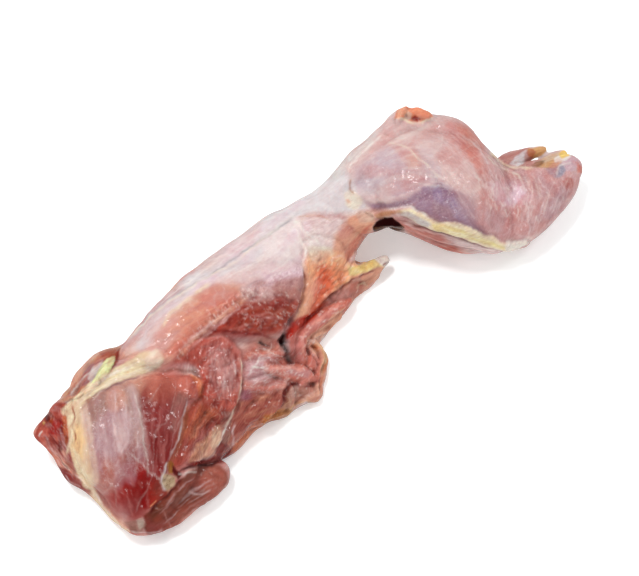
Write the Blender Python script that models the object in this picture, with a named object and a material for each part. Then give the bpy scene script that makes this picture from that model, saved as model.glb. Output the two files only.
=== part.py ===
"""Whole rabbit for cooking: skinned, gutted, without head and feet, lying half on its right side.

Metres, +Z up. +X runs from the neck to the hocks and +Y towards the back. The tables are in
millimetres, which MM turns into metres. One closed solid, "rabbit".
"""

import math

import bmesh
import bpy
import numpy as np
from mathutils import Matrix, Vector

MM = 0.001
UP = Vector((0, 0, 1))

# Driving sizes, in millimetres
VOXEL = 1.5
SECTION_SIDES = 36
STEP_ALONG = 4.0
FLAP_THICKNESS = 4.5
SMOOTHING = 5
TRIANGLES = 11000


def clear_scene():
    for obj in list(bpy.data.objects):
        bpy.data.objects.remove(obj)


def smooth_rows(rows, step):
    """Rows of numbers read from a Catmull-Rom curve through the given rows, about step apart."""
    rows = np.array(rows, float)
    padded = np.vstack([2 * rows[0] - rows[1], rows, 2 * rows[-1] - rows[-2]])
    read = []
    for a, b, c, d in zip(padded, padded[1:], padded[2:], padded[3:]):
        count = max(2, int(np.linalg.norm(c[:3] - b[:3]) / step))
        for t in np.arange(count) / count:
            read.append(
                0.5 * (2 * b + (c - a) * t + (2 * a - 5 * b + 4 * c - d) * t**2
                       + (3 * b - a - 3 * c + d) * t**3)
            )
    read.append(rows[-1])
    return np.array(read)


def new_object(name, points, faces):
    """A closed mesh object from points in millimetres."""
    mesh = bpy.data.meshes.new(name)
    mesh.from_pydata([Vector(p) * MM for p in points], [], faces)
    bm = bmesh.new()
    bm.from_mesh(mesh)
    bmesh.ops.recalc_face_normals(bm, faces=bm.faces)
    bm.to_mesh(mesh)
    bm.free()
    obj = bpy.data.objects.new(name, mesh)
    bpy.context.scene.collection.objects.link(obj)
    return obj


def rings_to_solid(name, rings):
    """A closed skin over a row of equal rings, with a flat cap at each end."""
    count = len(rings[0])
    faces = [tuple(reversed(range(count)))]
    for i in range(len(rings) - 1):
        low, high = i * count, (i + 1) * count
        for j in range(count):
            k = (j + 1) % count
            faces.append((low + j, low + k, high + k, high + j))
    faces.append(tuple((len(rings) - 1) * count + j for j in range(count)))
    return new_object(name, np.concatenate(rings), faces)


def loft(name, stations, round_start=1.0, round_end=1.0):
    """A limb or muscle. Each station is x, y, z, half width, half thickness, lean.

    Lean turns the section about the path: at 0 the thickness points up, and at 90 it points to
    the path's right-hand side. The ends are domes, as long as round_start and round_end times the
    half thickness.
    """
    rows = smooth_rows(stations, STEP_ALONG)
    centres = rows[:, :3]
    tangents = np.gradient(centres, axis=0)
    tangents /= np.linalg.norm(tangents, axis=1)[:, None]
    turns = np.arange(SECTION_SIDES) * 2 * math.pi / SECTION_SIDES
    rings = []

    def ring(centre, tangent, wide, thick, lean):
        tangent = Vector(tangent)
        side = tangent.cross(UP).normalized()
        up = side.cross(tangent)
        turn = Matrix.Rotation(math.radians(lean), 3, tangent)
        side, up = np.array(turn @ side), np.array(turn @ up)
        rings.append(
            centre + np.outer(np.cos(turns) * wide, side) + np.outer(np.sin(turns) * thick, up)
        )

    def dome(i, direction, length):
        for angle in np.linspace(90, 0, 6)[:-1] if direction < 0 else np.linspace(0, 90, 6)[1:]:
            a = math.radians(angle)
            shrink = max(math.cos(a), 0.05)
            reach = direction * math.sin(a) * length * rows[i, 4]
            ring(centres[i] + tangents[i] * reach, tangents[i], rows[i, 3] * shrink,
                 rows[i, 4] * shrink, rows[i, 5])

    dome(0, -1, round_start)
    for i in range(len(rows)):
        ring(centres[i], tangents[i], *rows[i, 3:6])
    dome(len(rows) - 1, 1, round_end)
    return rings_to_solid(name, rings)


def sheet(name, inner, outer, thickness, folds=0.0, height=0.0):
    """A closed slab between two edges, with folds that run from the inner edge to the outer one."""
    inner, outer = np.array(inner, float), np.array(outer, float)
    along = np.linspace(0, 1, 61)
    lines = []
    for row in (smooth_rows(inner, 1.5), smooth_rows(outer, 1.5)):
        gone = np.concatenate([[0], np.cumsum(np.linalg.norm(np.diff(row, axis=0), axis=1))])
        lines.append(np.stack([np.interp(along, gone / gone[-1], row[:, i]) for i in range(3)], 1))
    across = np.linspace(0, 1, 13)
    top = []
    for t in across:
        line = lines[0] * (1 - t) + lines[1] * t
        line[:, 2] += height * t * np.sin(2 * math.pi * folds * along + 2.0 * t)
        top.append(line)
    top = np.array(top)
    rows, count = top.shape[:2]
    bottom = top.copy()
    top[:, :, 2] += thickness / 2
    bottom[:, :, 2] -= thickness / 2
    points = np.concatenate([top.reshape(-1, 3), bottom.reshape(-1, 3)])
    under = rows * count
    faces = []
    for i in range(rows - 1):
        for j in range(count - 1):
            a, b, c, d = i * count + j, i * count + j + 1, (i + 1) * count + j + 1, (i + 1) * count + j
            faces.append((a, b, c, d))
            faces.append((under + d, under + c, under + b, under + a))
    rim = [j for j in range(count)] + [i * count + count - 1 for i in range(1, rows)]
    rim += [(rows - 1) * count + j for j in range(count - 2, -1, -1)]
    rim += [i * count for i in range(rows - 2, 0, -1)]
    for a, b in zip(rim, rim[1:] + rim[:1]):
        faces.append((b, a, under + a, under + b))
    return new_object(name, points, faces)


def cord(name, points, radius, flat=1.0):
    """A rounded strip of one width: a fold, a rim, a fat seam or a bone end."""
    return loft(name, [(x, y, z, radius, radius * flat, 0) for x, y, z in points])


def trunk():
    """Rib cage, loin and pelvis in one barrel, its back leaning away from +Z towards +Y."""
    return loft("trunk", [
        (-172, -26, 26, 16, 22, -50),
        (-145, -24, 31, 25, 36, -54),
        (-115, -20, 33, 28, 43, -54),
        (-90, -14, 34, 30, 45, -52),
        (-62, -3, 33, 31, 46, -50),
        (-38, 12, 30, 31, 38, -42),
        (-12, 26, 28, 30, 31, -22),
        (22, 38, 27, 26, 26, -15),
        (48, 46, 32, 21, 25, -20),
        (72, 52, 41, 25, 27, -35),
        (94, 58, 46, 21, 22, -50),
    ])


def neck():
    return loft("neck", [
        (-150, -20, 30, 26, 30, -40),
        (-172, -18, 25, 26, 23, -45),
        (-189, -15, 18, 22, 17, -50),
    ], round_end=0.5)


def near_foreleg():
    """Left leg, on top: shoulder blade and upper arm in one mass, then the folded forearm."""
    upper = loft("near_upper_arm", [
        (-129, -12, 58, 29, 8, -25),
        (-139, -30, 57, 39, 13, -20),
        (-150, -50, 44, 39, 21, -20),
        (-158, -66, 30, 31, 19, -15),
        (-164, -76, 18, 18, 15, 0),
    ])
    forearm = loft("near_forearm", [
        (-165, -77, 14, 13, 14, 0),
        (-146, -78, 14, 15, 14, 0),
        (-128, -77, 14, 12, 13, 0),
        (-114, -76, 12, 9, 11, 0),
    ])
    return [upper, forearm]


def far_foreleg():
    upper = loft("far_upper_arm", [
        (-124, 2, 52, 20, 9, 30),
        (-138, 11, 41, 24, 11, 45),
        (-152, 14, 24, 18, 12, 60),
    ])
    forearm = loft("far_forearm", [
        (-166, 6, 16, 11, 12, 0),
        (-150, 15, 15, 12, 14, 0),
        (-125, 14, 12, 12, 12, 0),
        (-105, 10, 9, 8, 9, 0),
    ])
    return [upper, forearm]


def breast():
    """The breast and the flattened edge of the belly wall, which lies on the table."""
    muscle = loft("breast_muscle", [
        (-150, -56, 22, 16, 16, 0),
        (-120, -56, 20, 15, 17, 0),
        (-92, -49, 20, 14, 17, 0),
        (-62, -42, 16, 17, 15, 0),
        (-38, -36, 10, 18, 11, 0),
    ])
    edge = cord("belly_edge", [
        (-104, -60, 8), (-92, -58, 6), (-80, -53, 6), (-68, -51, 5), (-56, -53, 4),
        (-44, -50, 6), (-34, -53, 4),
    ], 6.0)
    apron = loft("chest_apron", [
        (-122, -40, 46, 18, 10, 50),
        (-96, -40, 42, 22, 11, 50),
        (-72, -33, 38, 22, 11, 48),
        (-50, -22, 34, 18, 10, 45),
        (-34, -12, 32, 12, 8, 40),
    ])
    flank = loft("flank_muscle", [
        (-66, -10, 54, 14, 8, 30),
        (-44, -1, 48, 15, 9, 32),
        (-22, 7, 43, 13, 9, 35),
        (-6, 11, 38, 8, 7, 35),
    ])
    return [muscle, edge, apron, flank]


def flap():
    """The cut belly wall: a crumpled sheet from loin to table, with rolled folds and a pointed end."""
    fan = sheet("flap_fan", [
        (-22, -4, 34), (-4, 10, 44), (14, 20, 45), (32, 28, 36),
    ], [
        (-12, -18, 9), (2, -13, 10), (18, -2, 12), (33, 5, 14),
    ], FLAP_THICKNESS + 6, folds=2.0, height=2.5)
    under = sheet("flap_under", [
        (-24, -10, 8), (-6, 4, 10), (16, 14, 12), (34, 20, 13),
    ], [
        (-13, -25, 4), (4, -16, 4), (29, -6, 5), (45, -1, 7),
    ], FLAP_THICKNESS + 5, folds=3.0, height=2.0)
    point = loft("flap_point", [
        (16, 8, 20, 9, 5, 0),
        (34, 5, 15, 7, 5, 0),
        (44, 4, 13, 5, 3.5, 0),
        (51, 4.5, 12, 3.5, 3, 0),
    ])
    roll = cord("flap_roll", [
        (20, -2, 13), (8, -8, 13), (-6, -13, 13), (-20, -21, 14), (-28, -26, 13), (-26, -35, 10),
    ], 6.5)
    rim = cord("flap_rim", [
        (4, -13, 6), (-10, -18, 8), (-20, -26, 8), (-18, -31, 6), (-18, -38, 5), (-25, -47, 5),
        (-31, -53, 4),
    ], 5.0)
    fold = cord("flap_fold", [(-66, -38, 26), (-52, -37, 22), (-38, -39, 14), (-28, -45, 8)], 6.5)
    lobe = cord("flap_lobe", [(-34, -42, 9), (-38, -50, 6), (-48, -52, 6), (-56, -52, 5)], 6.5)
    return [fan, under, point, roll, rim, fold, lobe]


def near_hind_leg():
    thigh = loft("near_thigh", [
        (70, 47, 46, 22, 21, 0),
        (86, 29, 48, 35, 25, 0),
        (104, 6, 43, 37, 26, 0),
        (120, -12, 28, 26, 19, 0),
    ])
    ham = loft("near_ham", [
        (98, 56, 46, 17, 20, 0),
        (114, 43, 42, 22, 22, 0),
        (120, 24, 36, 22, 21, 0),
        (128, 2, 26, 20, 17, 0),
    ])
    calf = loft("near_calf", [
        (114, -14, 24, 18, 17, 0),
        (134, -12, 26, 25, 21, 0),
        (158, -7, 25, 23, 17, 0),
        (175, -5, 25, 17, 12, 0),
        (186, -3, 26, 10, 9, 0),
    ])
    groin = loft("groin", [
        (32, 36, 38, 16, 14, 20),
        (52, 37, 40, 20, 15, 15),
        (70, 36, 46, 24, 19, 10),
        (88, 32, 52, 24, 18, 0),
    ])
    return [thigh, ham, calf, groin]


def far_hind_leg():
    thigh = loft("far_thigh", [
        (88, 52, 26, 24, 18, 0),
        (90, 26, 18, 24, 17, 0),
        (108, 2, 12, 24, 14, 0),
        (124, -13, 10, 16, 11, 0),
    ])
    calf = loft("far_calf", [
        (114, -8, 12, 16, 12, 0),
        (138, 10, 13, 15, 13, 0),
        (158, 22, 18, 8, 8, 0),
        (172, 23, 21, 4.5, 4.5, 0),
        (181, 20, 22, 3, 3, 0),
    ])
    shin = loft("far_shin", [
        (146, 6, 13, 9, 10, 0),
        (168, 10, 16, 6, 6, 0),
        (182, 12, 19, 4.5, 4.5, 0),
        (191, 10, 21, 3.5, 3.5, 0),
    ])
    return [thigh, calf, shin]


def rump():
    """Stump of the tail between the two ends of the hip bones."""
    left = cord("hip_end_left", [(84, 58, 52), (92, 64, 57), (95, 65, 59)], 6.0)
    tail = cord("tail_stump", [(96, 50, 56), (105, 55, 60), (110, 57, 60)], 7.0)
    return [left, tail]


def fat():
    """Fat that stands up from the meat: along the thigh and over the far shoulder."""
    seam = cord("thigh_seam", [
        (56, 31, 20), (70, 23, 25), (88, 4, 24), (108, -13, 20), (121, -24, 14), (136, -28, 11),
    ], 4.5)
    collar = cord("collar_fat", [
        (-172, -8, 42), (-158, -6, 50), (-140, -8, 58), (-118, -13, 63),
    ], 6.0)
    lumps = cord("shoulder_fat", [(-153, 12, 36), (-146, 8, 42), (-142, 2, 48)], 7.0)
    throat = cord("throat_edge", [(-188, -22, 16), (-188, -36, 13), (-184, -52, 12), (-176, -66, 12)], 9.0)
    return [seam, collar, lumps, throat]


def join(pieces):
    """One Boolean union of all the pieces. The collection that held them is then removed."""
    first, others = pieces[0], pieces[1:]
    group = bpy.data.collections.new("others")
    bpy.context.scene.collection.children.link(group)
    for piece in others:
        bpy.context.scene.collection.objects.unlink(piece)
        group.objects.link(piece)
    union = first.modifiers.new("union", "BOOLEAN")
    union.operation = "UNION"
    union.operand_type = "COLLECTION"
    union.collection = group
    union.solver = "EXACT"
    apply_modifiers(first)
    for piece in others:
        bpy.data.objects.remove(piece)
    bpy.data.collections.remove(group)
    return first


def apply_modifiers(obj):
    mesh = bpy.data.meshes.new_from_object(obj.evaluated_get(bpy.context.evaluated_depsgraph_get()))
    obj.modifiers.clear()
    obj.data = mesh


def soften(obj):
    """An even skin without creases, then as few triangles as its folds need."""
    remesh = obj.modifiers.new("remesh", "REMESH")
    remesh.mode = "VOXEL"
    remesh.voxel_size = VOXEL * MM
    smooth = obj.modifiers.new("smooth", "SMOOTH")
    smooth.factor = 0.5
    smooth.iterations = SMOOTHING
    apply_modifiers(obj)
    thin = obj.modifiers.new("thin", "DECIMATE")
    thin.ratio = TRIANGLES / (2 * len(obj.data.polygons))
    apply_modifiers(obj)


def rest_on_table(obj):
    """Cut flat at the table, with the origin at the middle of the box's underside."""
    bm = bmesh.new()
    bm.from_mesh(obj.data)
    bmesh.ops.bisect_plane(
        bm, geom=bm.verts[:] + bm.edges[:] + bm.faces[:], plane_co=(0, 0, 0), plane_no=(0, 0, 1),
        clear_inner=True,
    )
    bmesh.ops.holes_fill(bm, edges=[edge for edge in bm.edges if edge.is_boundary])
    bmesh.ops.triangulate(bm, faces=bm.faces[:])
    points = np.array([v.co for v in bm.verts])
    middle = (points.min(0) + points.max(0)) / 2
    bmesh.ops.translate(bm, verts=bm.verts, vec=(-middle[0], -middle[1], 0))
    bm.to_mesh(obj.data)
    bm.free()


def main():
    clear_scene()
    pieces = [trunk(), neck(), *near_foreleg(), *far_foreleg(), *breast(), *flap()]
    pieces += [*near_hind_leg(), *far_hind_leg(), *rump(), *fat()]
    rabbit = join(pieces)
    soften(rabbit)
    rest_on_table(rabbit)
    rabbit.name = "rabbit"
    rabbit.data.name = "rabbit"


main()
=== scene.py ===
"""Looks of the whole rabbit: its skin of muscle, fascia and fat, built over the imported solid.

Folds and colours are placed by pixels of the photograph, which rays through the camera carry on to
the solid. The tables are in pixels, apart from heights and radii in millimetres and directions in
degrees, turned left from the picture's right. Each row begins with the name of its place.
"""

import math

import bpy
import numpy as np
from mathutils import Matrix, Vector
from mathutils.bvhtree import BVHTree

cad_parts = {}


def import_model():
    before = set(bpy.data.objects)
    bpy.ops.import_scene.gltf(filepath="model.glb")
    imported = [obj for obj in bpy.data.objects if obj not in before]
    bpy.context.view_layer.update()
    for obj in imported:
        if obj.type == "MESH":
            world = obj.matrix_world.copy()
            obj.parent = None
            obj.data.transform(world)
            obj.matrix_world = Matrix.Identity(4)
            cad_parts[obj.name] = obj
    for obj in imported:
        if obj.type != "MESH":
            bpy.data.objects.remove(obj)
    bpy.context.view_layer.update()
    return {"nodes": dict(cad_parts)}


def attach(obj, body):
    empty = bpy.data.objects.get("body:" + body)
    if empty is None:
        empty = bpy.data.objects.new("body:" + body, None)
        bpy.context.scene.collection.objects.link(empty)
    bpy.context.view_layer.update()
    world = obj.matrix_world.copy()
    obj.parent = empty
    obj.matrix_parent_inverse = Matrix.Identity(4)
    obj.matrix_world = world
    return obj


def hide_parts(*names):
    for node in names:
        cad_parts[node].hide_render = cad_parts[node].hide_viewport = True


MM = 0.001

# The photograph's camera
PHOTO_WIDTH, PHOTO_HEIGHT = 639, 576
AIM = Vector((0.0025, 0.0067, 0.025))
AZIMUTH, ELEVATION = math.radians(-30), math.radians(60)
DISTANCE = 1.15
PIXELS_PER_METRE = 1600
SENSOR = 36.0

# The mesh of the skin: voxels in mm, and the rolls that are laid on the solid before they merge
SKIN_VOXEL = 0.82
SKIN_SMOOTHING = 3
ROPE_SIDES = 20
ROPE_STEP = 3.0
ROPE_END_ANGLES = (30, 60, 85)

# What the camera sees of the skin, and the share of the paint that hidden sides take
LEAST_FACING = 0.05
SIGHT_START = 0.4 * MM
SIGHT_REACH = 0.3
SEEN_SPREAD = 6
GHOST = 0.7

# Outlines and paths: the steps they are read in, the shake of their places, and soft edges
GRID = 1.5
PATH_STEP = 2.0
OUTLINE_STEP = 4.0
WARP = 0.5
DRIFT = 5
SOFT_EDGE = 1.6
SOFT_FROM = 5
PATCH_EDGE = 8
STROKE_REACH = 4
STRAND_PLACES = 24

# How strong relief, strands, webs and grain are, and how wet the skin is where WETS says nothing
LINE_RELIEF = 0.5
BUNDLE_RELIEF = 0.3
WRINKLE_RELIEF = 0.7
HIDDEN_RELIEF = 0.3
STRAND_SHARE = 0.3
WEB_WIDTH = 0.09
GRAIN_LENGTH = 0.14
WETNESS = 0.6

# The light: the photograph's exposure and haze, the floor's glow, the sky and small lamps for glints
EXPOSURE = 0.8
DIM = 0.014
LEAST_LIGHT = 0.003
FLOOR_GLOW = 0.27
SKY = 0.66
SKY_GLOSS_LOSS = 0.16
SPARKS = 16
SPARK_TURN = 2.4
SPARK_REACH = 1.4
SPARK_SPREAD = 0.85
SPARK_LEAST_HEIGHT = 0.15
SPARK_SIZE = 0.09
SPARK_WATTS = 1.4

# Colours, as the screen shows them, from 0 to 255
PEARL = (240, 230, 222)
SILVER = (222, 212, 213)
ASH = (186, 178, 180)
IVORY = (236, 220, 200)
CREAM = (240, 222, 188)
BUTTER = (236, 214, 150)
YELLOW = (240, 200, 105)
STONE = (205, 200, 184)
SHELL = (228, 200, 198)
FASCIA = (236, 218, 216)
LILAC = (208, 176, 186)
LAVENDER = (202, 184, 192)
ORCHID = (232, 196, 208)
MAUVE = (178, 138, 146)
VIOLET = (156, 124, 146)
PURPLE = (136, 112, 150)
PLUM = (150, 106, 112)
BLUSH = (216, 182, 178)
PINK = (212, 164, 162)
ROSE = (204, 132, 126)
CORAL = (212, 122, 106)
SALMON = (220, 160, 138)
PEACH = (228, 168, 140)
APRICOT = (238, 152, 112)
ORANGE = (218, 118, 78)
RUST = (176, 98, 72)
BRICK = (172, 82, 70)
RED = (172, 62, 50)
CRIMSON = (134, 36, 34)
WINE = (144, 72, 70)
COCOA = (132, 76, 66)
UMBER = (112, 72, 50)
OCHRE = (168, 112, 50)
TAN = (198, 140, 108)
# A dark red for painted shade in creases, cavities and sunk strands
SHADE_DARK = (86, 30, 26)
GARNET = (120, 20, 18)
MAROON = (98, 30, 26)
RUSSET = (150, 62, 40)
BROWN = (128, 66, 44)
SEPIA = (104, 62, 48)
SCARLET = (196, 52, 36)
VERMILION = (216, 72, 46)
CHERRY = (158, 40, 34)
CLAY = (178, 104, 90)
DUSK = (186, 128, 120)
HEATHER = (190, 148, 152)
TAUPE = (160, 116, 106)
NUDE = (220, 186, 168)
SAND = (224, 196, 164)
BEIGE = (214, 184, 158)
FOG = (206, 196, 192)
MIST = (218, 206, 202)
DOVE = (196, 186, 186)
AMBER = (208, 160, 112)
TERRA = (200, 110, 76)
CARROT = (232, 128, 78)
LIME = (226, 224, 168)
LIVER = (118, 52, 38)
BLOOM = (246, 176, 160)
FLESH = (188, 96, 84)
STEEL = (158, 152, 168)
KHAKI = (178, 158, 124)
PAPAYA = (250, 184, 142)
TOMATO = (236, 96, 64)
HONEY = (238, 194, 140)
# A near black for painted shadow in gaps and slits
SHADOW_BLACK = (56, 36, 38)

# The colours that fat has, and the red that the painted shade in hollows leans to
FATTY = (CREAM, BUTTER, YELLOW, STONE, IVORY)
SHADE_RED = (200, 120, 110)

# Lamps: name, metres to the right, up the picture and above what the camera looks at, size, watts
LAMPS = [
    ("key", -0.5, 0, 1.9, 0.35, 20), ("left", -1.5, 0, 1.1, 0.3, 4), ("fill", 0.9, 0.3, 1.3, 0.3, 4),
]

# Places of the skin's outline that are drawn to the photograph's: x, y and the move, in pixels
PULL_REACH = 15
PULL_REST = 0.25
PULLS = [
    ("tail", 404, 105, 0, 0), ("tail_notch", 434, 112, -1, 3), ("thigh_top", 460, 120, 0, 0),
    ("knee_gap", 486, 146, -2, 1), ("knee_pit", 497, 156, 0, -3), ("far_foot", 523, 145, 0, 3),
    ("far_tip", 542, 144, -1, 4), ("shin_bone", 558, 150, 0, -1), ("hock", 574, 152, -2, 4),
    ("hock_side", 583, 164, -3, 0), ("calf_back", 579, 184, 1, 0), ("calf_low", 550, 224, -1, -1),
    ("seam_end", 505, 253, 0, 1), ("thigh_low", 476, 256, 0, -3), ("thigh_middle", 455, 256, 0, -4),
    ("thigh_under", 432, 249, 1, -5), ("thigh_start", 412, 239, 2, -5), ("thigh_root", 400, 231, 1, -1),
    ("hollow", 388, 222, 0, 11), ("hollow_left", 372, 226, 0, 9), ("flank_low", 358, 243, 4, 3),
    ("fan_gap", 354, 256, -3, 14), ("fan_edge", 372, 256, 0, 4), ("fan_tip", 389, 258, 0, 1),
    ("fan_tip_low", 381, 272, 2, 1), ("flap_side", 350, 305, -1, -1), ("flap_notch", 324, 338, -2, -1),
    ("curl_top", 331, 359, -4, 0), ("curl_side", 331, 372, -6, 0), ("curl_low", 327, 388, -6, 0),
    ("curl_corner", 318, 401, 0, 2), ("rim", 304, 407, -1, -3), ("rim_middle", 280, 420, 0, -1),
    ("rim_low", 252, 436, -1, -2), ("wrist_gap", 225, 459, 0, 0), ("wrist", 234, 474, -7, 1),
    ("forearm_end", 222, 492, -1, -1), ("forearm_low", 196, 516, -3, -4), ("forearm", 176, 527, -1, -2),
    ("elbow_low", 136, 538, 1, -3), ("elbow_left", 120, 530, 1, -1), ("shoulder_low", 108, 522, 4, -3),
    ("shoulder_front", 93, 515, 8, -11), ("neck_low", 77, 504, 9, -13), ("neck_side", 64, 487, 3, -6),
    ("neck_edge", 50, 464, 4, -4), ("neck_slope", 40, 454, 9, -7),
    ("neck_mouth", 34, 440, -7, 0), ("neck_upper", 40, 418, 3, 3), ("neck_top", 54, 403, -2, -2),
    ("far_arm_left", 71, 374, 3, 2), ("far_arm", 82, 359, 3, 3), ("far_arm_top", 103, 341, 1, 6),
    ("far_arm_corner", 120, 335, 3, 12), ("chest_edge", 135, 324, 4, 4), ("chest_upper", 160, 300, 1, 1),
    ("back_rise", 215, 255, -1, -2), ("loin_edge", 262, 217, 1, 1), ("loin_rise", 288, 201, 3, 6),
    ("waist_low", 308, 185, 5, 9), ("waist", 323, 170, 7, 8), ("waist_steep", 335, 150, 10, 10),
    ("hip_rise", 352, 131, 14, 13), ("hip_shoulder", 370, 120, 10, 10), ("hip_top", 386, 110, 4, 8),
]

# Outlines that more than one row uses
PIT = [(162, 474), (168, 474), (175, 478), (174, 486), (166, 490), (161, 484)]
NECK = [(36, 438), (48, 412), (66, 406), (68, 440), (74, 478), (48, 460)]
FOREARM = [(146, 516), (176, 488), (206, 466), (228, 476), (204, 503), (170, 530)]
BACK_SHEET = [(124, 352), (160, 304), (205, 262), (262, 214), (330, 168), (350, 180), (345, 210),
    (300, 220), (302, 262), (260, 280), (212, 284), (170, 316), (150, 350)]

# Muscles and sheets that stand proud of what lies next to them: name, height mm, edge px, outline
LIFTS = [
    ("shoulder", 1.5, 8, [(80, 420), (96, 398), (130, 382), (158, 374), (180, 375), (196, 377), (200, 386),
        (198, 396), (186, 402), (182, 420), (178, 438), (170, 458), (163, 478), (150, 492), (152, 510),
        (140, 530), (120, 524), (100, 500), (86, 470)]),
    ("shoulder_left", 0.7, 9, [(82, 408), (100, 392), (132, 388), (138, 412), (142, 440), (146, 470),
        (136, 500), (118, 512), (100, 495), (84, 460)]),
    ("chest_lobe", 1.6, 6, [(183, 350), (195, 342), (222, 337), (234, 346), (241, 362), (240, 388),
        (233, 410), (222, 424), (206, 408), (202, 380), (192, 362)]),
    ("collar", 0.3, 3, [(64, 406), (76, 398), (93, 385), (108, 372), (128, 362), (150, 355), (158, 356),
        (160, 362), (153, 370), (132, 378), (108, 387), (88, 400), (76, 412), (66, 414)]),
    ("neck_fat", 0.5, 4, [(66, 408), (76, 404), (84, 414), (88, 436), (92, 458), (94, 482), (86, 486),
        (76, 468), (69, 444), (68, 424)]),
    ("fat_patch", 0.8, 3, [(188, 462), (194, 450), (200, 442), (208, 432), (216, 426), (222, 425),
        (222, 437), (215, 450), (204, 458), (195, 462)]),
    ("seam", 1.4, 2, [(372, 213), (385, 210), (397, 208), (408, 206), (416, 210), (428, 217), (434, 220),
        (441, 224), (448, 222), (455, 221), (463, 225), (470, 226), (477, 231), (486, 234), (493, 236),
        (501, 241), (512, 242), (528, 240), (518, 248), (506, 251), (490, 247), (470, 241), (450, 234),
        (430, 229), (418, 223), (404, 216), (388, 215), (374, 218)]),
    ("upper_thigh", 1.0, 8, [(352, 180), (360, 164), (380, 150), (408, 148), (425, 164), (434, 180),
        (425, 192), (400, 200), (370, 200), (356, 194)]),
    ("upper_chest", 2.8, 14, [(118, 354), (135, 330), (160, 304), (190, 284), (230, 272), (262, 268),
        (300, 268), (300, 290), (294, 314), (286, 330), (262, 337), (236, 335), (206, 332), (190, 342),
        (176, 360), (150, 364)]),
    ("fan_sheet", 1.3, 5, [(303, 244), (316, 238), (334, 240), (344, 250), (348, 262), (362, 265),
        (372, 261), (380, 257), (386, 255), (388, 260), (385, 265), (377, 268), (361, 273), (351, 278),
        (343, 284), (335, 291), (325, 297), (312, 312), (304, 318), (300, 316), (305, 300), (304, 270)]),
]

# Rolled folds, fat lumps and stumps laid on the solid: name, flatness, [(x, y, radius mm, lift mm)]
ROPES = [
    ("fat_leaf", 0.8, [(96, 381, 2.6, 0), (102, 373, 3.0, 0.5), (107, 365, 2.4, 0.8), (112, 359, 1.4, 0.6)]),
    ("fat_lump_a", 0.8, [(90, 388, 2.0, -1), (94, 382, 2.4, -1), (97, 378, 2.0, -1)]),
    ("fat_lump_b", 0.8, [(83, 394, 2.0, -0.5), (88, 390, 2.2, -0.5)]),
    ("fat_lump_c", 0.8, [(72, 399, 1.6, 0), (79, 396, 1.8, 0)]),
    ("tube_fold", 1.0, [(350, 300, 2.0, 0), (341, 306, 3.6, 0), (328, 314, 4.4, 0), (316, 323, 4.8, -0.5),
        (305, 333, 5.6, -1), (298, 342, 6.0, -1.5), (298, 351, 5.8, -1.5), (302, 359, 4.6, -1)]),
    ("tube_ridge", 0.8, [(336, 309, 1.4, 3.4), (322, 318, 1.6, 3.6), (308, 329, 1.8, 3.8),
        (303, 338, 1.8, 3.8), (303, 347, 1.8, 3.6), (307, 356, 1.6, 3)]),
    ("under_lobe", 0.8, [(336, 323, 1.2, 0), (329, 331, 1.8, 0), (320, 334, 1.8, 0), (313, 338, 1.6, 0),
        (308, 343, 1.4, 0)]),
    ("curled_rim", 1.0, [(308, 346, 1.4, 1.5), (308, 342, 1.6, 2), (313, 341, 1.6, 2), (319, 344, 1.8, 2),
        (324, 350, 2.0, 1.5), (326, 359, 2.0, 1.5), (323, 369, 1.9, 1), (320, 380, 1.9, 1),
        (320, 391, 2.2, 1), (318, 399, 2.2, 0.5), (312, 400, 1.8, 0.5), (306, 398, 1.8, 0.5),
        (300, 402, 1.8, 0.5), (294, 408, 1.8, 0), (288, 413, 2.2, 0), (276, 416, 2.0, 0),
        (264, 421, 1.8, 0)]),
    ("curl_inner", 1.0, [(309, 347, 1.2, 1.5), (314, 352, 1.4, 2), (320, 357, 1.4, 2),
        (322, 365, 1.3, 1.5)]),
    ("pink_bulge", 1.0, [(312, 361, 3.4, 1), (315, 366, 4.0, 1)]),
    ("cross_tube", 1.0, [(262, 366, 2.6, -1), (274, 370, 4.2, -1), (288, 373, 5.8, -1), (301, 374, 6.2, -1),
        (311, 376, 4.6, 0), (316, 378, 3.0, 0)]),
    ("right_lobe", 0.7, [(303, 388, 4.0, 0), (310, 392, 5.4, 0), (315, 397, 3.6, 0)]),
    ("left_lobe", 0.8, [(290, 387, 2.2, 0), (291, 397, 3.0, 0.5), (290, 408, 2.8, 0.5)]),
    ("fan_fold", 1.0, [(308, 313, 1.2, 0), (316, 304, 1.6, 0.5), (325, 297, 1.5, 0.5),
        (335, 290, 1.2, 0.5)]),
    ("tail_left", 1.0, [(397, 116, 2.6, 1), (401, 111, 3.4, 2), (405, 109, 2.4, 2)]),
    ("tail_right", 1.0, [(410, 113, 3.0, 1.5), (419, 112, 3.8, 2), (427, 114, 2.6, 1)]),
    ("flank_edge", 0.8, [(371, 226, 1.4, 0.5), (364, 236, 1.8, 1), (354, 247, 1.8, 1),
        (346, 257, 1.6, 0.5)]),
    ("shoulder_rim", 1.0, [(188, 375, 0.9, -0.4), (196, 378, 1.1, -0.2), (200, 384, 1.1, -0.2),
        (200, 392, 0.9, -0.5)]),
]

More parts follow.
